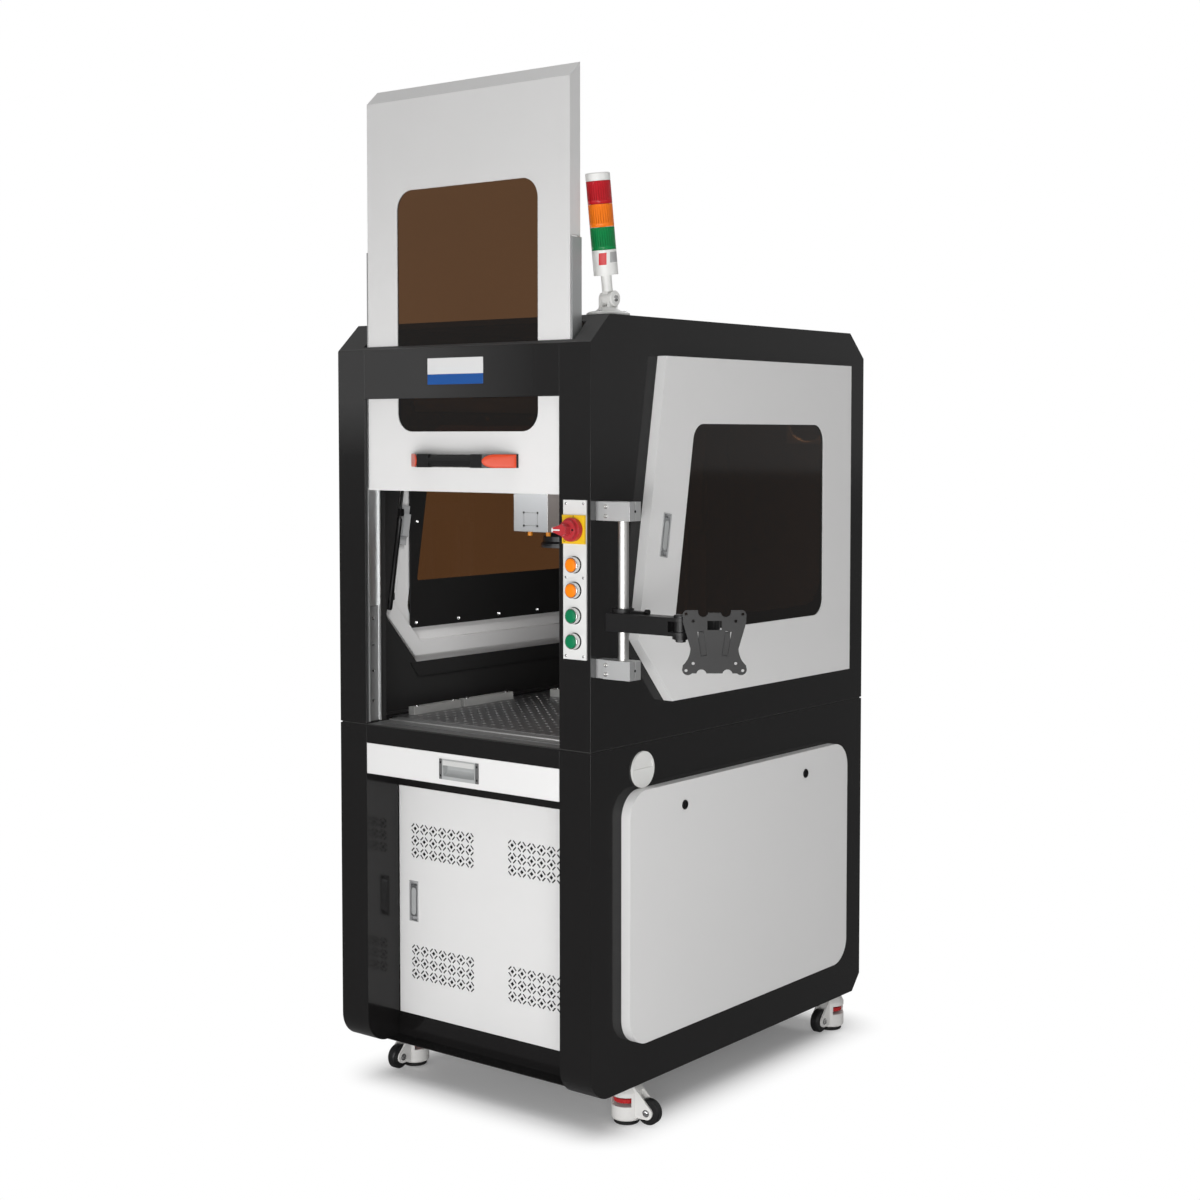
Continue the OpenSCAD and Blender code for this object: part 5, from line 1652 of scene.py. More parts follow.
@dataclass
class LowerFront:
    """The drawer and the vented door under it.

    Attributes:
        vents: distances of the four vents' middles from the door's, along x and z.
        mat: width, height, corner, thickness and ease of the filter mat behind a vent.
        pull: half length and middle height of the drawer's cup pull.
        flap: how far the flap ends from the cup's ends, its height, corner, thickness and ease.
    """

    latch: Pair = (-210.0, 372.5)
    door_face: float = 92.0
    vents: Pair = (131.0, 126.0)
    vent_middle: float = 0.5
    vent_half: Pair = (92.0, 42.0)
    mat: Row = (186.0, 86.0, 4.0, 3.0, 0.8)
    mat_back: float = 2.4
    vent_shade_black: Rgb = (0.02, 0.02, 0.02)
    pull: Pair = (51.0, 677.0)
    bar: float = 7.5
    bar_grey: Rgb = (0.16, 0.16, 0.16)
    pull_screw: Pair = (3.5, 13.0)
    flap: Row = (10.0, 10.0, 2.0, 1.2, 0.4)
    flap_up: float = 13.0
    cup_face: float = -2.0

    def build(self) -> None:
        """Dresses the drawer's and the door's nodes and adds their fittings."""
        self.door()
        self.drawer()

    def door(self) -> None:
        """The vented door: its coat with painted shade on the vents' cut walls, filter mats and latch."""
        x, z = self.latch
        half_width, half_height = PADDLE.dish
        dish = box_patch(
            (x - half_width, 80, z - half_height), (x + half_width, 108, z + half_height),
            PADDLE.grey, 0.0, 0.38)
        cut = self.door_face + 0.2
        (across_door, up_door), (wide, high) = self.vents, self.vent_half
        vents = [
            (self.vent_middle + a, self.door_face + self.mat_back, z + b)
            for a in (-across_door, across_door) for b in (-up_door, up_door)
        ]
        # Painted shade: the vents' white cut walls are painted black, as the shade in the slots.
        vent_shade_cuts = [
            box_patch((a - wide, cut, c - high), (a + wide, cut + 1.9, c + high), self.vent_shade_black)
            for a, _, c in vents
        ]
        coat = replace(WHITE_COAT, name="front_door_white_with_latch", patches=(dish, *vent_shade_cuts))
        PAINTS.dress(coat, "front_door")
        *outline, thickness, ease = self.mat
        mat = slab(rounded(*outline), thickness, ease)
        fitting("vent_filters", "front_door", SEAL, mat, Facing.BACK, *vents)
        PAINTS.dress(ZINC, "front_latch")
        place = (x, self.door_face - PADDLE.stand, z)
        fitting("front_paddle_cover", "front_latch", CUP_GREY, PADDLE.cover(), Facing.FRONT, place)

    def drawer(self) -> None:
        """The drawer's coat and its cup pull with dark end bars, screws and flap."""
        PAINTS.dress(WHITE_COAT, "drawer")
        end, level = self.pull
        bars = tuple(
            box_patch((a, -5, level - 25), (b, 20, level + 25), self.bar_grey, 0.3)
            for a, b in ((-end - 1, self.bar - end), (end - self.bar, end + 1))
        )
        PAINTS.dress(replace(CUP_GREY, name="drawer_cup_with_bars", patches=bars), "drawer_pull")
        inset, beside = self.pull_screw
        sides = (inset - end, end - inset)
        places = [(a, self.cup_face, level + b) for a in sides for b in (-beside, beside)]
        fitting("pull_screws", "drawer", DARK_SCREW, pan_screw(2.2, 1.0), Facing.FRONT, *places)
        short, height, corner, thickness, ease = self.flap
        flap = slab(rounded(2 * (end - short), height, corner), thickness, ease)
        fitting(
            "pull_flap", "drawer", replace(CUP_GREY, name="drawer_cup_flap", colour=(0.62, 0.62, 0.61)),
            flap, Facing.FRONT, (0.0, self.cup_face + 0.1, level + self.flap_up),
        )


@dataclass
class Controls:
    """The control strip: plate, main switch and four buttons.

    Attributes:
        zero: width, height and corner of the 0's outer and inner outline.
        marks: place of the 0 and of the 1 from the switch's middle, x and z.
    """

    middle: float = 291.0
    face: float = -3.0
    screw_x: Pair = (270.5, 311.5)
    screw_z: Row = (1203.5, 1067.5, 922.5)
    switch_z: float = 1156.0
    switch_half: float = 26.5
    shield: float = 4.0
    yellow: Rgb = (0.82, 0.52, 0.010)
    handle: float = 38.3
    knob: float = 22.3
    buttons: Row = (1091.0, 1044.0, 997.0, 950.0)
    button_face: float = -16.0
    dome: Profile = ((12.0, 0.0), (11.9, 0.5), (11.0, 1.0), (6.0, 1.3), (0.3, 1.4))
    bezel: Profile = (
        (14.6, 0.8), (14.6, 9.6), (14.1, 11.2), (13.2, 11.6),
        (12.4, 11.2), (12.35, 8.0), (13.85, 7.5), (13.85, 0.8),
    )
    gasket: Profile = ((16.0, 0.0), (15.8, 1.0), (14.7, 1.3), (13.9, 1.2), (13.9, 0.0))
    zero: tuple[Vec, Vec] = ((4.2, 5.6, 2.0), (2.6, 4.0, 1.2))
    one: Vec = (1.2, 5.6, 0.5)
    mark: float = 0.25
    marks: Profile = ((-21.0, -21.0), (0.0, 23.4))

    def build(self) -> None:
        """Dresses the controls' nodes and adds their fittings."""
        x, z, half = self.middle, self.switch_z, self.switch_half
        shield = box_patch(
            (x - half - 1, -8, z - half - 0.3), (x + half + 1, -3.03, z + half + 0.3), self.yellow)
        plate = replace(CONTROL_WHITE, name="control_white_with_yellow", patches=(shield,))
        PAINTS.dress(plate, "control_plate")
        PAINTS.dress(RED, "isolator_handle")
        self.caps()
        self.bezels()
        self.switch_marks()
        self.switch_pointer()
        places = [(a, self.face, b) for a in self.screw_x for b in self.screw_z]
        fitting("strip_screws", "cabinet", CHROME, pan_screw(2.7, 1.4), Facing.FRONT, *places)

    def caps(self) -> None:
        """The buttons and their domed faces: two amber ones over two green ones."""
        finishes = (AMBER_CAP, AMBER_CAP, GREEN_CAP, GREEN_CAP)
        face = turned(self.dome)
        for number, (finish, level) in enumerate(zip(finishes, self.buttons), 1):
            button = f"button_{number}"
            PAINTS.dress(finish, button)
            place = (self.middle, self.button_face, level)
            fitting(f"cap_{number}", button, finish, face, Facing.FRONT, place)

    def bezels(self) -> None:
        """The bright rings round the buttons and the black gaskets under them; the gaskets' dark ring also
        stands in for the shade round each bezel.
        """
        places = [(self.middle, self.face, z) for z in self.buttons]
        bright = replace(CHROME, name="bezel_satin_chrome", colour=(0.78, 0.78, 0.77), roughness=0.26)
        fitting("button_bezels", "cabinet", bright, hoop(self.bezel, 40), Facing.FRONT, *places)
        # The black gasket rings are partly painted shade round each bezel.
        fitting("button_gaskets", "cabinet", SEAL, hoop(self.gasket, 40), Facing.FRONT, *places)

    def switch_marks(self) -> None:
        """The main switch's 0 and 1 on its plate."""
        x, z, y = self.middle, self.switch_z, self.face - self.shield
        outer, inner = self.zero
        shapes = (
            border(rounded(*outer), rounded(*inner), self.mark),
            slab(rounded(*self.one), self.mark),
        )
        marks = [laid(shape, Facing.FRONT, (x + a, y, z + b)) for shape, (a, b) in zip(shapes, self.marks)]
        mesh_piece("switch_marks", join(*marks), "cabinet", SEAL)

    def switch_pointer(self) -> None:
        """The handle's white pointer, a bar that ends in a crossbar, and its padlock hole, drawn as a black
        disc of painted shade.
        """
        x, z, front = self.middle, self.switch_z, self.face - self.handle
        pointer = laid(slab(rounded(17.5, 2.6, 1.2), 0.6, 0.2), Facing.FRONT, (x - 12.5, front, z))
        tip = laid(slab(rounded(3.4, 8.0, 1.5), 0.7, 0.2), Facing.FRONT, (x - 21.6, front, z))
        mesh_piece("switch_pointer", join(pointer, tip), "isolator", WHITE_PLASTIC)
        # Painted shade: a black disc stands for the dark of the padlock hole.
        hole = turned([(2.3, 0.0), (2.2, 0.25), (0.2, 0.3)], 20)
        fitting("switch_hole", "isolator", SEAL, hole, Facing.FRONT, (x + 12.6, self.face - self.knob, z))


@dataclass
class MonitorArm:
    """The pole with its clamps, the two-part arm and the monitor plate.

    Attributes:
        collar_up: height of the pole collar's face over it.
    """

    plate_black: Rgb = (0.018, 0.0177, 0.0177)
    clamps: Pair = (883.0, 1173.0)
    clamp_face: float = 11.0
    clamp_end: float = 407.0
    clamp_screw_x: float = 353.0
    clamp_screws: Pair = (9.0, 26.0)
    clamp_middle: float = 17.5
    grub: Profile = ((2.6, 0.0), (2.5, 0.3), (1.9, 0.35), (1.7, 0.15), (0.2, 0.1))
    pole: Pair = (380.0, 28.0)
    elbow: Pair = (516.0, 18.0)
    elbow_cap: Profile = ((13.0, 0.0), (13.0, 2.6), (11.6, 4.4), (8.0, 5.4), (0.4, 5.6))
    head: Pair = (546.05, 74.51)
    arm_top: float = 1005.5
    arm_depth: float = 38.4
    collar_up: float = 8.0
    collar_screws: Profile = ((-15.0, 4.0), (15.0, 4.0))

    def build(self) -> None:
        """Dresses the arm's nodes and adds its fixings."""
        PAINTS.dress(STEEL, "pole")
        PAINTS.dress(CLAMP_ALLOY, "pole_clamps")
        PAINTS.dress(BLACK_CAST, "arm_inner", "arm_outer", "arm_head")
        plate = replace(BLACK_CAST, name="textured_grey_black_plate", colour=self.plate_black, specular=0.26)
        PAINTS.dress(plate, "monitor_plate")
        self.clamp_fixings()
        self.arm_fixings()

    def clamp_fixings(self) -> None:
        """The two screws in each clamp's face and the sunk one in its end."""
        places = [
            (self.clamp_screw_x, self.clamp_face, low + up)
            for low in self.clamps for up in self.clamp_screws
        ]
        fitting("clamp_screws", "cabinet", STEEL, cap_screw(4.2, 3.0), Facing.FRONT, *places)
        ends = [(self.clamp_end, self.pole[1], low + self.clamp_middle) for low in self.clamps]
        fitting("clamp_grub_screws", "cabinet", DARK_SCREW, turned(self.grub, 20), Facing.RIGHT, *ends)

    def arm_fixings(self) -> None:
        """The elbow's cap and nut, the collar's screws and the head's bolt."""
        cap = laid(turned(self.elbow_cap), Facing.TOP, (*self.elbow, self.arm_top))
        nut = laid(hex_bolt(16.0, 6.0), Facing.BASE, (*self.elbow, self.arm_top - self.arm_depth))
        x, y = self.pole
        spots = [(x + a, y + b, self.arm_top + self.collar_up) for a, b in self.collar_screws]
        collar = laid(cap_screw(2.8, 2.0), Facing.TOP, *spots)
        mesh_piece("arm_fixings", join(cap, nut, collar), "arm_inner", DARK_SCREW)
        place = (*self.head, self.arm_top - 1)
        fitting("head_bolt", "arm_head", DARK_SCREW, cap_screw(6.6, 3.6), Facing.TOP, place)


@dataclass
class SignalTower:
    """The folding signal tower.

    Attributes:
        first: distance of the lowest lens above the pivot.
        crown: profile of the crown on it: radius less the tower's, and height over the cap.
        base_screws: radius of the circle of its screws, and their angles in degrees.
        lens_profile: a lens's profile: its radius less the tower's, its height, and 1 where it has ribs.
        red_label: start and end of the red label, upward and sideways from the pivot.
    """

    pivot: Vec = (281.0, 110.0, 1584.0)
    lean: float = 8.0
    radius: float = 23.0
    first: float = 90.75
    lens: float = 42.39
    cap: float = 13.0
    crown: Profile = ((0.0, -1.0), (0.0, 0.1), (-0.8, 1.2), (-3.0, 1.9), (-22.6, 2.3))
    cheek: Profile = ((2.0, 0.0), (13.6, 0.0), (14.6, 0.9), (14.6, 3.4), (13.4, 4.6), (8.0, 5.2), (0.4, 5.2))
    cheek_x: float = 13.4
    fold_x: float = 18.3
    base_down: float = 24.4
    base_screws: Row = (31.0, 40.0, 160.0, 280.0)
    ribs: int = 30
    swell: float = 0.22
    lens_profile: tuple[Vec, ...] = (
        (-0.45, 0.0, 0), (0.0, 0.3, 0), (0.0, 6.6, 0), (-0.25, 7.4, 1),
        (-0.25, 41.2, 1), (-0.35, 41.9, 0), (-0.48, 41.9, 0), (-0.48, 0.0, 0),
    )
    label_face: tuple[Vec, Vec] = ((0.787, 0.617, 0.0), (0.617, -0.787, 0.0))
    red_label: Profile = ((63.4, 85.5), (-17.5, -3.0))
    grey_label: Profile = ((67.0, 86.0), (3.5, 18.0))

    def build(self) -> None:
        """Dresses the tower's nodes and adds its lenses, crown and screws."""
        PAINTS.dress(WHITE_PLASTIC, "tower_base")
        white = replace(WHITE_PLASTIC, name="tower_white_with_labels", patches=self.labels())
        PAINTS.dress(white, "tower_body")
        PAINTS.dress(RED_LENS, "tower_lenses")
        tilt = ((Axis.X, self.lean),)
        for number, (name, finish) in enumerate(
                (("green", GREEN_LENS), ("amber", AMBER_LENS), ("red", RED_LENS))):
            sleeve = moved(self.sleeve(self.first + number * self.lens), self.pivot, tilt)
            mesh_piece(f"lens_{name}", sleeve, "tower", finish, 60.0)
        top = self.first + 3 * self.lens + self.cap
        crown = turned([(self.radius + out, top + up) for out, up in self.crown])
        mesh_piece("tower_crown", moved(crown, self.pivot, tilt), "tower", WHITE_PLASTIC)
        self.knuckle()

    def knuckle(self) -> None:
        """The fold's round cheek and screw, and the screws of the base."""
        x, y, z = self.pivot
        cheek = turned(self.cheek, 40)
        fitting("fold_cheek", "tower", WHITE_PLASTIC, cheek, Facing.RIGHT, (x + self.cheek_x, y, z))
        fold = laid(pan_screw(6.6, 2.2), Facing.RIGHT, (x + self.fold_x, y, z))
        radius, *angles = self.base_screws
        spots = np.column_stack([polar(radius, np.radians(angles)), np.full(len(angles), -self.base_down)])
        base = laid(pan_screw(3.2, 1.8), Facing.TOP, *(self.pivot + spots))
        mesh_piece("tower_screws", join(fold, base), "cabinet", CHROME)

    def labels(self) -> tuple[Patch, ...]:
        """The blank red label and the grey one on the tower's foot, as patches.

        Returns:
            One patch for each label.
        """
        lean = math.radians(self.lean)
        up = (0.0, -math.sin(lean), math.cos(lean))
        aside, out = self.label_face
        front = beyond(self.pivot, out, 0.0, 60.0)
        return tuple(
            Patch((front, beyond(self.pivot, up, *rise), beyond(self.pivot, aside, *width)), colour)
            for (rise, width), colour in (
                (self.red_label, (0.62, 0.03, 0.035)), (self.grey_label, (0.42, 0.42, 0.42)))
        )

    def sleeve(self, foot: float) -> Shape:
        """One ribbed lens: a smooth flange under a wall whose radius swells and sinks round the axis.

        Where the profile has ribs, its radius grows by the swell times the cosine of
        the angle times the number of ribs.

        Args:
            foot: its distance above the pivot.

        Returns:
            Points and faces.
        """
        angle = spokes(self.ribs * 6)
        out, heights, ribbed = np.array(self.lens_profile).T
        reach = (self.radius + out)[:, None] + self.swell * ribbed[:, None] * np.cos(self.ribs * angle)[None]
        levels = np.broadcast_to((heights + foot)[:, None], reach.shape)
        return skin(np.concatenate([polar(reach, angle), levels[..., None]], -1), loop=True)


@dataclass
class Workroom:
    """What stands inside: table, sill, fences, column, head and electronics.

    Attributes:
        barrel: y of the black lens barrel's start and end, behind the housing's face, and its height.
        pilot_z: height of their foot and top over the lens's rim.
        sill_steps: thickness of the lower and of the upper step.
        rack_places: the foot of each.
    """

    table_front: float = 92.0
    table_low: float = 746.5
    lip: float = 1.6
    lip_white: Rgb = (0.72, 0.72, 0.71)
    # Painted highlight: the holes' chamfers are painted a lighter grey.
    holes: Holes = Holes((0.0, 129.5), 25.0, 5.0, (0.62, 0.62, 0.62))
    fence_top: float = 766.5
    fence_screws: Profile = (
        (-250.0, 146.0), (-250.0, 256.0), (-250.0, 300.0), (-250.0, 428.0),
        (-188.0, 532.0), (-54.0, 532.0), (80.0, 532.0),
    )
    head: float = 317.0
    housing: float = 44.5
    housing_front: float = 217.0
    housing_screws: Profile = ((-18.0, 18.0), (1146.5, 1173.0))
    groove: Vec = (1159.75, 36.0, 26.5)
    barrel: Vec = (53.0, 145.0, 30.9)
    lens_low: float = 1099.5
    lens_rim: Profile = ((43.3, -4.0), (43.3, 0.2), (41.0, 0.8), (38.6, 0.4), (38.4, -1.4), (42.8, -4.0))
    lens_glass: Profile = ((35.8, -2.6), (35.6, -1.6), (27.0, -0.6), (14.0, -0.1), (0.5, 0.0))
    pilots: Pair = (-18.0, 30.0)
    pilot_y: Pair = (87.0, 73.0)
    pilot_z: Pair = (20.0, 34.9)
    carriage_front: float = 710.0
    carriage_screws: Profile = ((-63.0, 63.0), (1134.0, 1259.0))
    sill_half: float = 249.0
    sill_front: Pair = (46.5, 32.0)
    sill_high: float = 62.0
    sill_steps: Pair = (1.6, 3.6)
    rack_bend: float = 9.0
    rack_reach: float = 6.0
    rack_height: float = 110.0
    rack_rod: float = 3.6
    rack_places: tuple[Vec, ...] = ((88.0, 211.8, 170.0), (244.0, 211.8, 170.0))

    def build(self) -> None:
        """Dresses the inner nodes and adds their fittings."""
        front = self.table_front
        bright = box_patch((-300, front - 1, 700), (300, front + self.lip, 800), self.lip_white, 1.0, 0.3)
        table = replace(TABLE_PLATE, name="ground_table_bright_lip", patches=(bright,), holes=self.holes)
        PAINTS.dress(table, "work_table")
        PAINTS.dress(FENCE, "table_fences")
        PAINTS.dress(ANODISED, "column", "carriage")
        PAINTS.dress(self.head_finish(), "scan_head")
        drive = box_patch((20, 0, 0), (300, 900, 700), (0.05, 0.05, 0.052), 0.2, 0.4)
        PAINTS.dress(replace(GALVANISED, name="electronics_cases", patches=(drive,)), "electronics")
        self.sill()
        self.head_details()
        tops = [(x, y, self.fence_top) for x, y in self.fence_screws]
        fitting("fence_screws", "cabinet", CHROME, cap_screw(4.4, 2.6), Facing.TOP, *tops)
        sides, levels = self.carriage_screws
        spots = [(x, self.carriage_front, z) for x in sides for z in levels]
        fitting("carriage_screws", "z_axis", DARK_SCREW, cap_screw(5.4, 4.0), Facing.FRONT, *spots)
        self.rack_handles()

    def head_finish(self) -> Finish:
        """The scan head's grey, with its black lens barrel, bright side edge and orange pilot lights.

        Returns:
            The finish.
        """
        low, face, end = self.lens_low, self.housing_front, self.housing
        start, stop, rise = self.barrel
        barrel = box_patch(
            (-50, face + start, low - 1), (50, face + stop, low + rise), (0.011, 0.011, 0.012), 0.0, 0.3)
        (near, back), (foot, top) = self.pilot_y, self.pilot_z
        lamps = tuple(
            box_patch((x - 6, self.head - near, low + foot), (x + 6, self.head - back, low + top),
                      (0.85, 0.30, 0.02), 0.0)
            for x in self.pilots
        )
        side = box_patch(
            (end - 1.2, face - 1, low), (end + 1, self.head - 50, 1300), (0.75, 0.76, 0.76), 0.8, 0.3)
        return replace(HOUSING, name="scan_head_grey_and_black", patches=(barrel, side, *lamps))

    def head_details(self) -> None:
        """The scan head's cover screws, its groove drawn as a thin black ring of painted shade, its lens
        glass and bright lens rim.
        """
        face, (sides, levels) = self.housing_front, self.housing_screws
        spots = [(x, face, z) for x in sides for z in levels]
        fitting("head_screws", "z_axis", DARK_SCREW, pan_screw(2.4, 1.2), Facing.FRONT, *spots)
        level, width, height = self.groove
        # Painted shade: the groove is a thin black ring on the face, not a cut.
        groove = border(rounded(width, height, 1.0), rounded(width - 1, height - 1, 0.6), 0.12)
        fitting("head_groove", "z_axis", BLACK_SHEET, groove, Facing.FRONT, (0.0, face, level))
        middle = (0.0, self.head, self.lens_low)
        fitting("lens_rim", "z_axis", ANODISED, hoop(self.lens_rim, 48), Facing.BASE, middle)
        fitting("lens_glass", "z_axis", OPTIC, turned(self.lens_glass, 40), Facing.BASE, middle)

    def sill(self) -> None:
        """The stepped metal ledge in front of the table, its rear strip with a bright front edge."""
        middle, depth = self.sill_front
        thin, thick = self.sill_steps
        front, back, width = self.sill_high, self.table_front, 2 * self.sill_half
        low = slab(rounded(width, depth, 0.8, 3), thin, 0.3)
        high = slab(rounded(width, back - front - 0.5, 0.8, 3), thick, 0.4)
        edge = box_patch((-260, front - 1, 740), (260, front + 1.4, 760), (0.85, 0.85, 0.84), 0.9, 0.28)
        grey = Finish(
            "satin_ledge_metal", "table_steel", (0.26, 0.26, 0.26), 0.42, 0.7, Grain.BRUSHED, 0.0008, 0.00001,
            Axis.X, tone_shift=0.08, edge=0.0006, patches=(edge,),
        )
        shape = join(
            laid(low, Facing.TOP, (0, middle, self.table_low)),
            laid(high, Facing.TOP, (0, (front + back) / 2, self.table_low)),
        )
        mesh_piece("table_sill", shape, "cabinet", grey)

    def rack_handles(self) -> None:
        """Two bow handles on the drive unit: rods bent through quarter circles at both ends."""
        bend = np.linspace(0, np.pi / 2, 6)
        radius = self.rack_bend
        half = np.stack([radius * np.sin(bend) + self.rack_reach, radius * (1 - np.cos(bend))], 1)
        lower = np.vstack([[[0.0, 0.0]], half]) * (-1, 1)
        upper = lower[::-1] * (1, -1) + (0, self.rack_height)
        path = np.vstack([lower, upper])
        shape = rod(np.column_stack([np.zeros(len(path)), path]), self.rack_rod, 12, (1.0, 0.0, 0.0))
        mesh_piece("rack_handles", copies(shape, self.rack_places), "cabinet", CHROME)


@dataclass
class Casters:
    """The four levelling casters.

    Attributes:
        places: x, y and heading in degrees of each.
        trail: distance from the swivel's axis to the axle.
        thumb: heights between which the levelling wheel lies.
    """

    places: tuple[Vec, ...] = (
        (282.0, 168.0, 8.0), (-282.0, 168.0, -90.0), (282.0, 922.0, -88.0), (-282.0, 922.0, -60.0))
    trail: float = 50.0
    axle: float = 28.0
    cheek: float = 14.0
    thumb: Pair = (42.6, 51.5)
    spindle_top: float = 70.0

    def build(self) -> None:
        """Dresses the casters' nodes and adds their bolts."""
        head = hex_bolt(10.0, 4.0)
        bolt = join(
            laid(head, Facing.BACK, (self.trail, self.cheek, self.axle)),
            laid(head, Facing.FRONT, (self.trail, -self.cheek, self.axle)),
        )
        foot = self.foot_finish()
        for number, (x, y, heading) in enumerate(self.places, 1):
            caster = f"caster_{number}"
            PAINTS.dress(WHITE_CAST, caster)
            PAINTS.dress(NYLON, f"wheel_{number}")
            PAINTS.dress(foot, f"foot_{number}")
            mesh_piece(f"axle_bolts_{number}", moved(bolt, (x, y, 0.0), ((Axis.Z, heading),)), caster, CHROME)

    def foot_finish(self) -> Finish:
        """The foot's black rubber, with its red levelling wheel and bare spindle.

        Returns:
            The finish.
        """
        red = Patch((across(Axis.Z, *self.thumb),), (0.50, 0.020, 0.022))
        spindle = Patch((across(Axis.Z, self.thumb[1], self.spindle_top),), (0.40, 0.40, 0.40), 0.9, 0.35)
        return Finish(
            "foot_pad_and_red_wheel", "foot_rubber", (0.014, 0.014, 0.014), 0.5, grain=Grain.MOULDED,
            grain_size=0.0010, relief=0.00004, tone_shift=0.10, specular=0.3, edge=0.0006,
            patches=(red, spindle),
        )


# ---------------------------------------------------------------- studio

WHITE = (1.0, 1.0, 1.0, 1.0)


@dataclass(frozen=True)
class Lamp:
    """One soft lamp.

    Attributes:
        name: its name.
        place: where it hangs, in metres.
        aim: where it points.
        size: its width and height.
        power: its power, in watts.
        spread: the angle its light fills, in degrees.
    """

    name: str
    place: Vec
    aim: Vec
    size: Pair
    power: float
    spread: float = 180.0


@dataclass
class Studio:
    """Floor, lamps, world and camera.

    Attributes:
        eye: the camera's place, in the machine's millimetres.
        heading: direction of view, in degrees from the y axis towards -x.
        shift: sideways and upward shift of the frame.
        floor_lift: light added to the floor where it is looked at.
        middle: middle of the ground the machine covers, in its millimetres.
        footprint: half width and half depth of that ground's inner part, in metres.
        white_from: distance from there at which the floor starts to turn white.
        white_to: distance from which it is white.
    """

    eye: Vec = (2499.3, -2743.7, 1325.0)
    heading: float = 38.1
    pitch: float = 3.1
    lens: float = 57.6
    shift: Pair = (0.0, -0.049)
    sensor: float = 36.0
    reach: float = 60.0
    floor_tone: float = 0.95
    floor_lift: float = 0.10
    floor_mirrored: float = 0.42
    far_mirrored: float = 0.20
    middle: Vec = (0.0, 525.0, 0.0)
    footprint: Pair = (0.25, 0.40)
    white_from: float = 0.0
    white_to: float = 0.155
    around: float = 0.21
    mirrored: float = 0.40
    lamps: tuple[Lamp, ...] = (
        Lamp("key", (1.7, -2.9, 0.7), (-0.1, 0.0, 0.6), (2.0, 1.2), 50.0),
        Lamp("front", (-0.2, -3.9, 0.8), (-0.1, 0.0, 0.6), (2.2, 1.4), 27.0),
        Lamp("fill", (5.0, -0.4, 1.1), (0.0, 0.1, 0.7), (3.0, 1.8), 15.0),
        Lamp("left", (-5.0, 0.3, 1.2), (0.0, 0.1, 0.8), (2.6, 1.8), 20.0),
        Lamp("back", (-0.6, 4.4, 4.3), (0.0, 0.4, 0.8), (2.6, 1.0), 42.0),
        Lamp("over", (0.0, 0.0, 5.4), (0.0, 0.0, 0.0), (5.0, 5.0), 88.0),
        Lamp("inside", (-0.08, -0.37, 1.385), (-0.08, -0.02, 0.80), (0.34, 0.05), 1.7, 130.0),
    )

    def build(self) -> None:
        """Sets the whole studio."""
        self.floor()
        self.world()
        for lamp in self.lamps:
            self.light(lamp)
        self.camera()
        bpy.context.scene.view_settings.view_transform = "Standard"

    def floor(self) -> None:
        """A wide pale floor that keeps the shadow and is white elsewhere."""
        corners = [(x * self.reach, y * self.reach, 0.0) for x, y in ((-1, -1), (1, -1), (1, 1), (-1, 1))]
        mesh = bpy.data.meshes.new("floor")
        mesh.from_pydata(corners, [], [[0, 1, 2, 3]])
        obj = bpy.data.objects.new("floor", mesh)
        bpy.context.scene.collection.objects.link(obj)
        material, graph = blank_material("pale_floor")
        looked, glossy = graph.rays()
        pale, dull = (self.floor_tone,) * 3, (self.floor_mirrored,) * 3
        matte = graph.add("ShaderNodeBsdfDiffuse", Color=graph.blend(glossy, pale, dull))
        raised_by = graph.maths("MULTIPLY", looked, self.floor_lift)
        lift = graph.add("ShaderNodeEmission", Color=WHITE, Strength=raised_by)
        near = graph.add("ShaderNodeAddShader")
        graph.link(matte.outputs[0], near.inputs[0])
        graph.link(lift.outputs[0], near.inputs[1])
        strength = graph.maths("MULTIPLY_ADD", glossy, self.far_mirrored, looked)
        white = graph.add("ShaderNodeEmission", Color=WHITE, Strength=strength)
        share = graph.maths("MULTIPLY", self.far(graph), graph.maths("ADD", looked, glossy, clamp=True))
        graph.finish(graph.mix(share, near.outputs[0], white.outputs[0]))
        mesh.materials.append(material)

    def far(self, graph: Graph) -> bpy.types.NodeSocket:
        """A mask that rises smoothly from 0 to 1 with the distance from the machine's footprint.

        Args:
            graph: the floor's tree.

        Returns:
            The mask's socket.
        """
        place = graph.add("ShaderNodeSeparateXYZ", Vector=graph.coords)
        centres = DATUM.row(np.array(self.middle)).tolist()
        gaps = []
        for axis, (centre, half) in enumerate(zip(centres, self.footprint)):
            offset = graph.maths("ABSOLUTE", graph.maths("SUBTRACT", place.outputs[axis], centre))
            gaps.append(graph.maths("MAXIMUM", graph.maths("SUBTRACT", offset, half), 0.0))
        square = graph.maths("MULTIPLY_ADD", gaps[0], gaps[0], graph.maths("POWER", gaps[1], 2.0))
        return graph.add(
            "ShaderNodeMapRange", interpolation_type="SMOOTHSTEP", Value=graph.maths("SQRT", square),
            From_Min=self.white_from, From_Max=self.white_to,
        ).outputs["Result"]

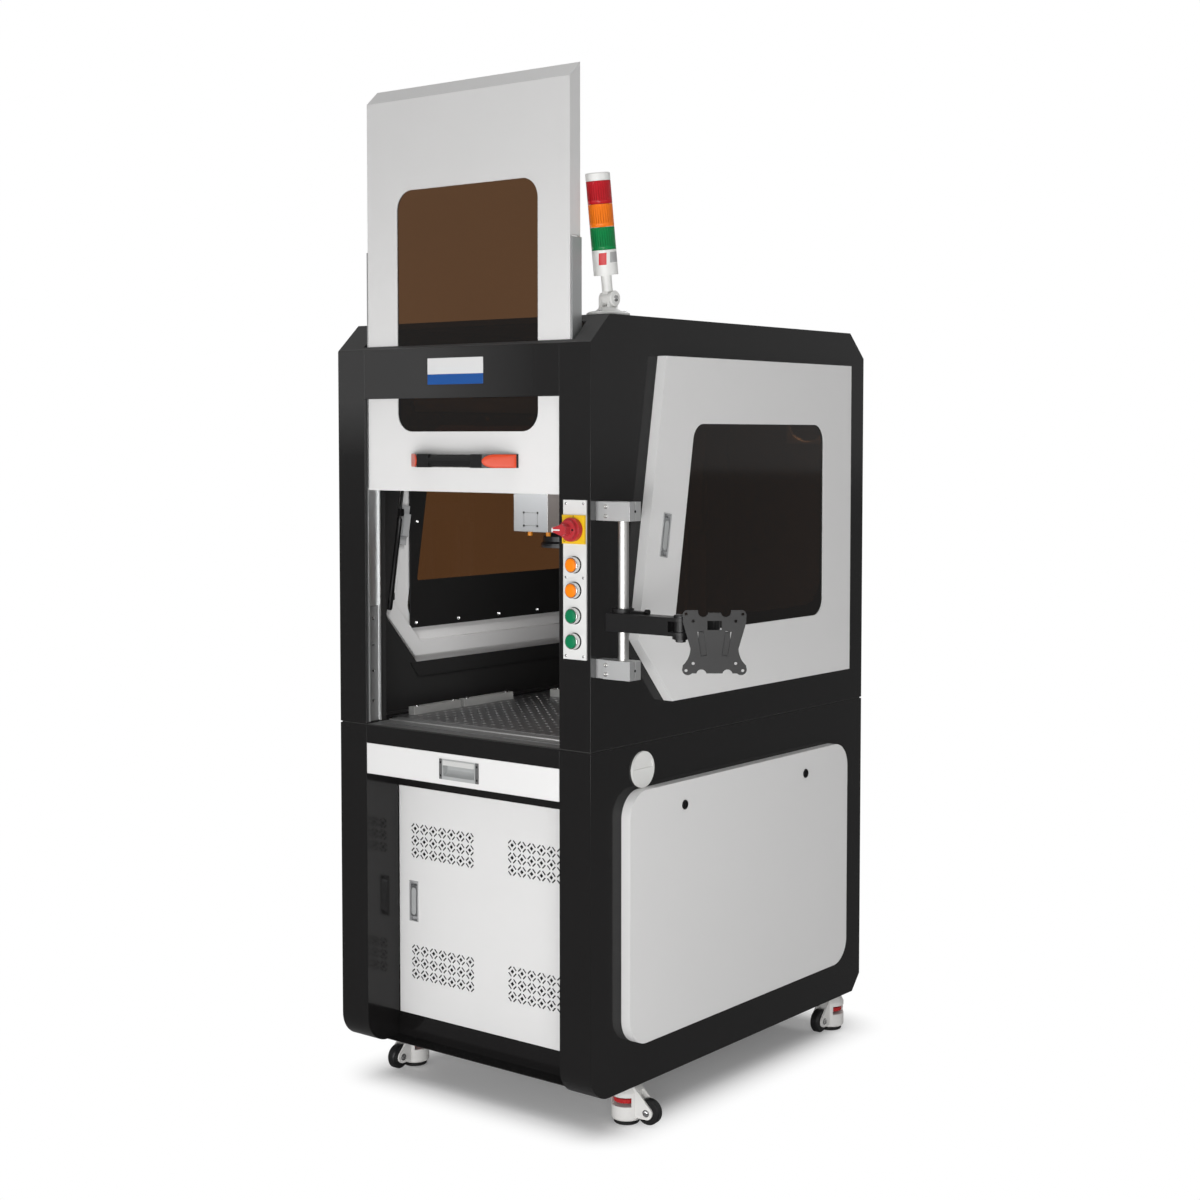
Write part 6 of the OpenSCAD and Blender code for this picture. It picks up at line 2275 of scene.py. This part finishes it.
    def world(self) -> None:
        """White behind the machine, paler in reflections, and an even soft light from all round."""
        world = bpy.data.worlds.new("studio")
        bpy.context.scene.world = world
        world.use_nodes = True
        graph = Graph(world.node_tree)
        looked, glossy = graph.rays()
        even, mirrored, white = (
            graph.add("ShaderNodeBackground", Color=WHITE, Strength=strength).outputs[0]
            for strength in (self.around, self.mirrored, 1.0)
        )
        inner = graph.mix(glossy, even, mirrored)
        graph.finish(graph.mix(looked, inner, white), "ShaderNodeOutputWorld")

    def light(self, lamp: Lamp) -> None:
        """Hangs one lamp.

        Args:
            lamp: the lamp.
        """
        data = bpy.data.lights.new(lamp.name, "AREA")
        data.shape = "RECTANGLE"
        data.size, data.size_y = lamp.size
        data.energy = lamp.power
        data.spread = math.radians(lamp.spread)
        obj = bpy.data.objects.new(lamp.name, data)
        obj.location = lamp.place
        obj.rotation_euler = (Vector(lamp.aim) - Vector(lamp.place)).to_track_quat("-Z", "Y").to_euler()
        bpy.context.scene.collection.objects.link(obj)

    def camera(self) -> None:
        """The camera at its place, level but for a slight pitch."""
        data = bpy.data.cameras.new("camera")
        data.lens = self.lens
        data.sensor_width = self.sensor
        data.shift_x, data.shift_y = self.shift
        obj = bpy.data.objects.new("camera", data)
        bpy.context.scene.collection.objects.link(obj)
        obj.location = DATUM.row(np.array(self.eye)).tolist()
        obj.rotation_euler = (math.radians(90 - self.pitch), 0.0, math.radians(self.heading))
        bpy.context.scene.camera = obj


def main() -> None:
    """Builds the machine's parts in order, logging each new piece's faces, then the studio."""
    logging.basicConfig(level=logging.INFO, format="%(name)s: %(message)s")
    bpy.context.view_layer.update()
    before = set(bpy.data.objects)
    parts = (
        Cabinet(), LiftDoor(), SideDoors(), LowerFront(), Controls(),
        MonitorArm(), SignalTower(), Workroom(), Casters(),
    )
    for part in parts:
        part.build()
        added = [o for o in bpy.data.objects if o not in before]
        before.update(added)
        log.info("%s built", type(part).__name__)
        for piece in added:
            log.info("  %s: %d faces", piece.name, len(piece.data.polygons))
    Studio().build()


if __name__ == "__main__":
    main()
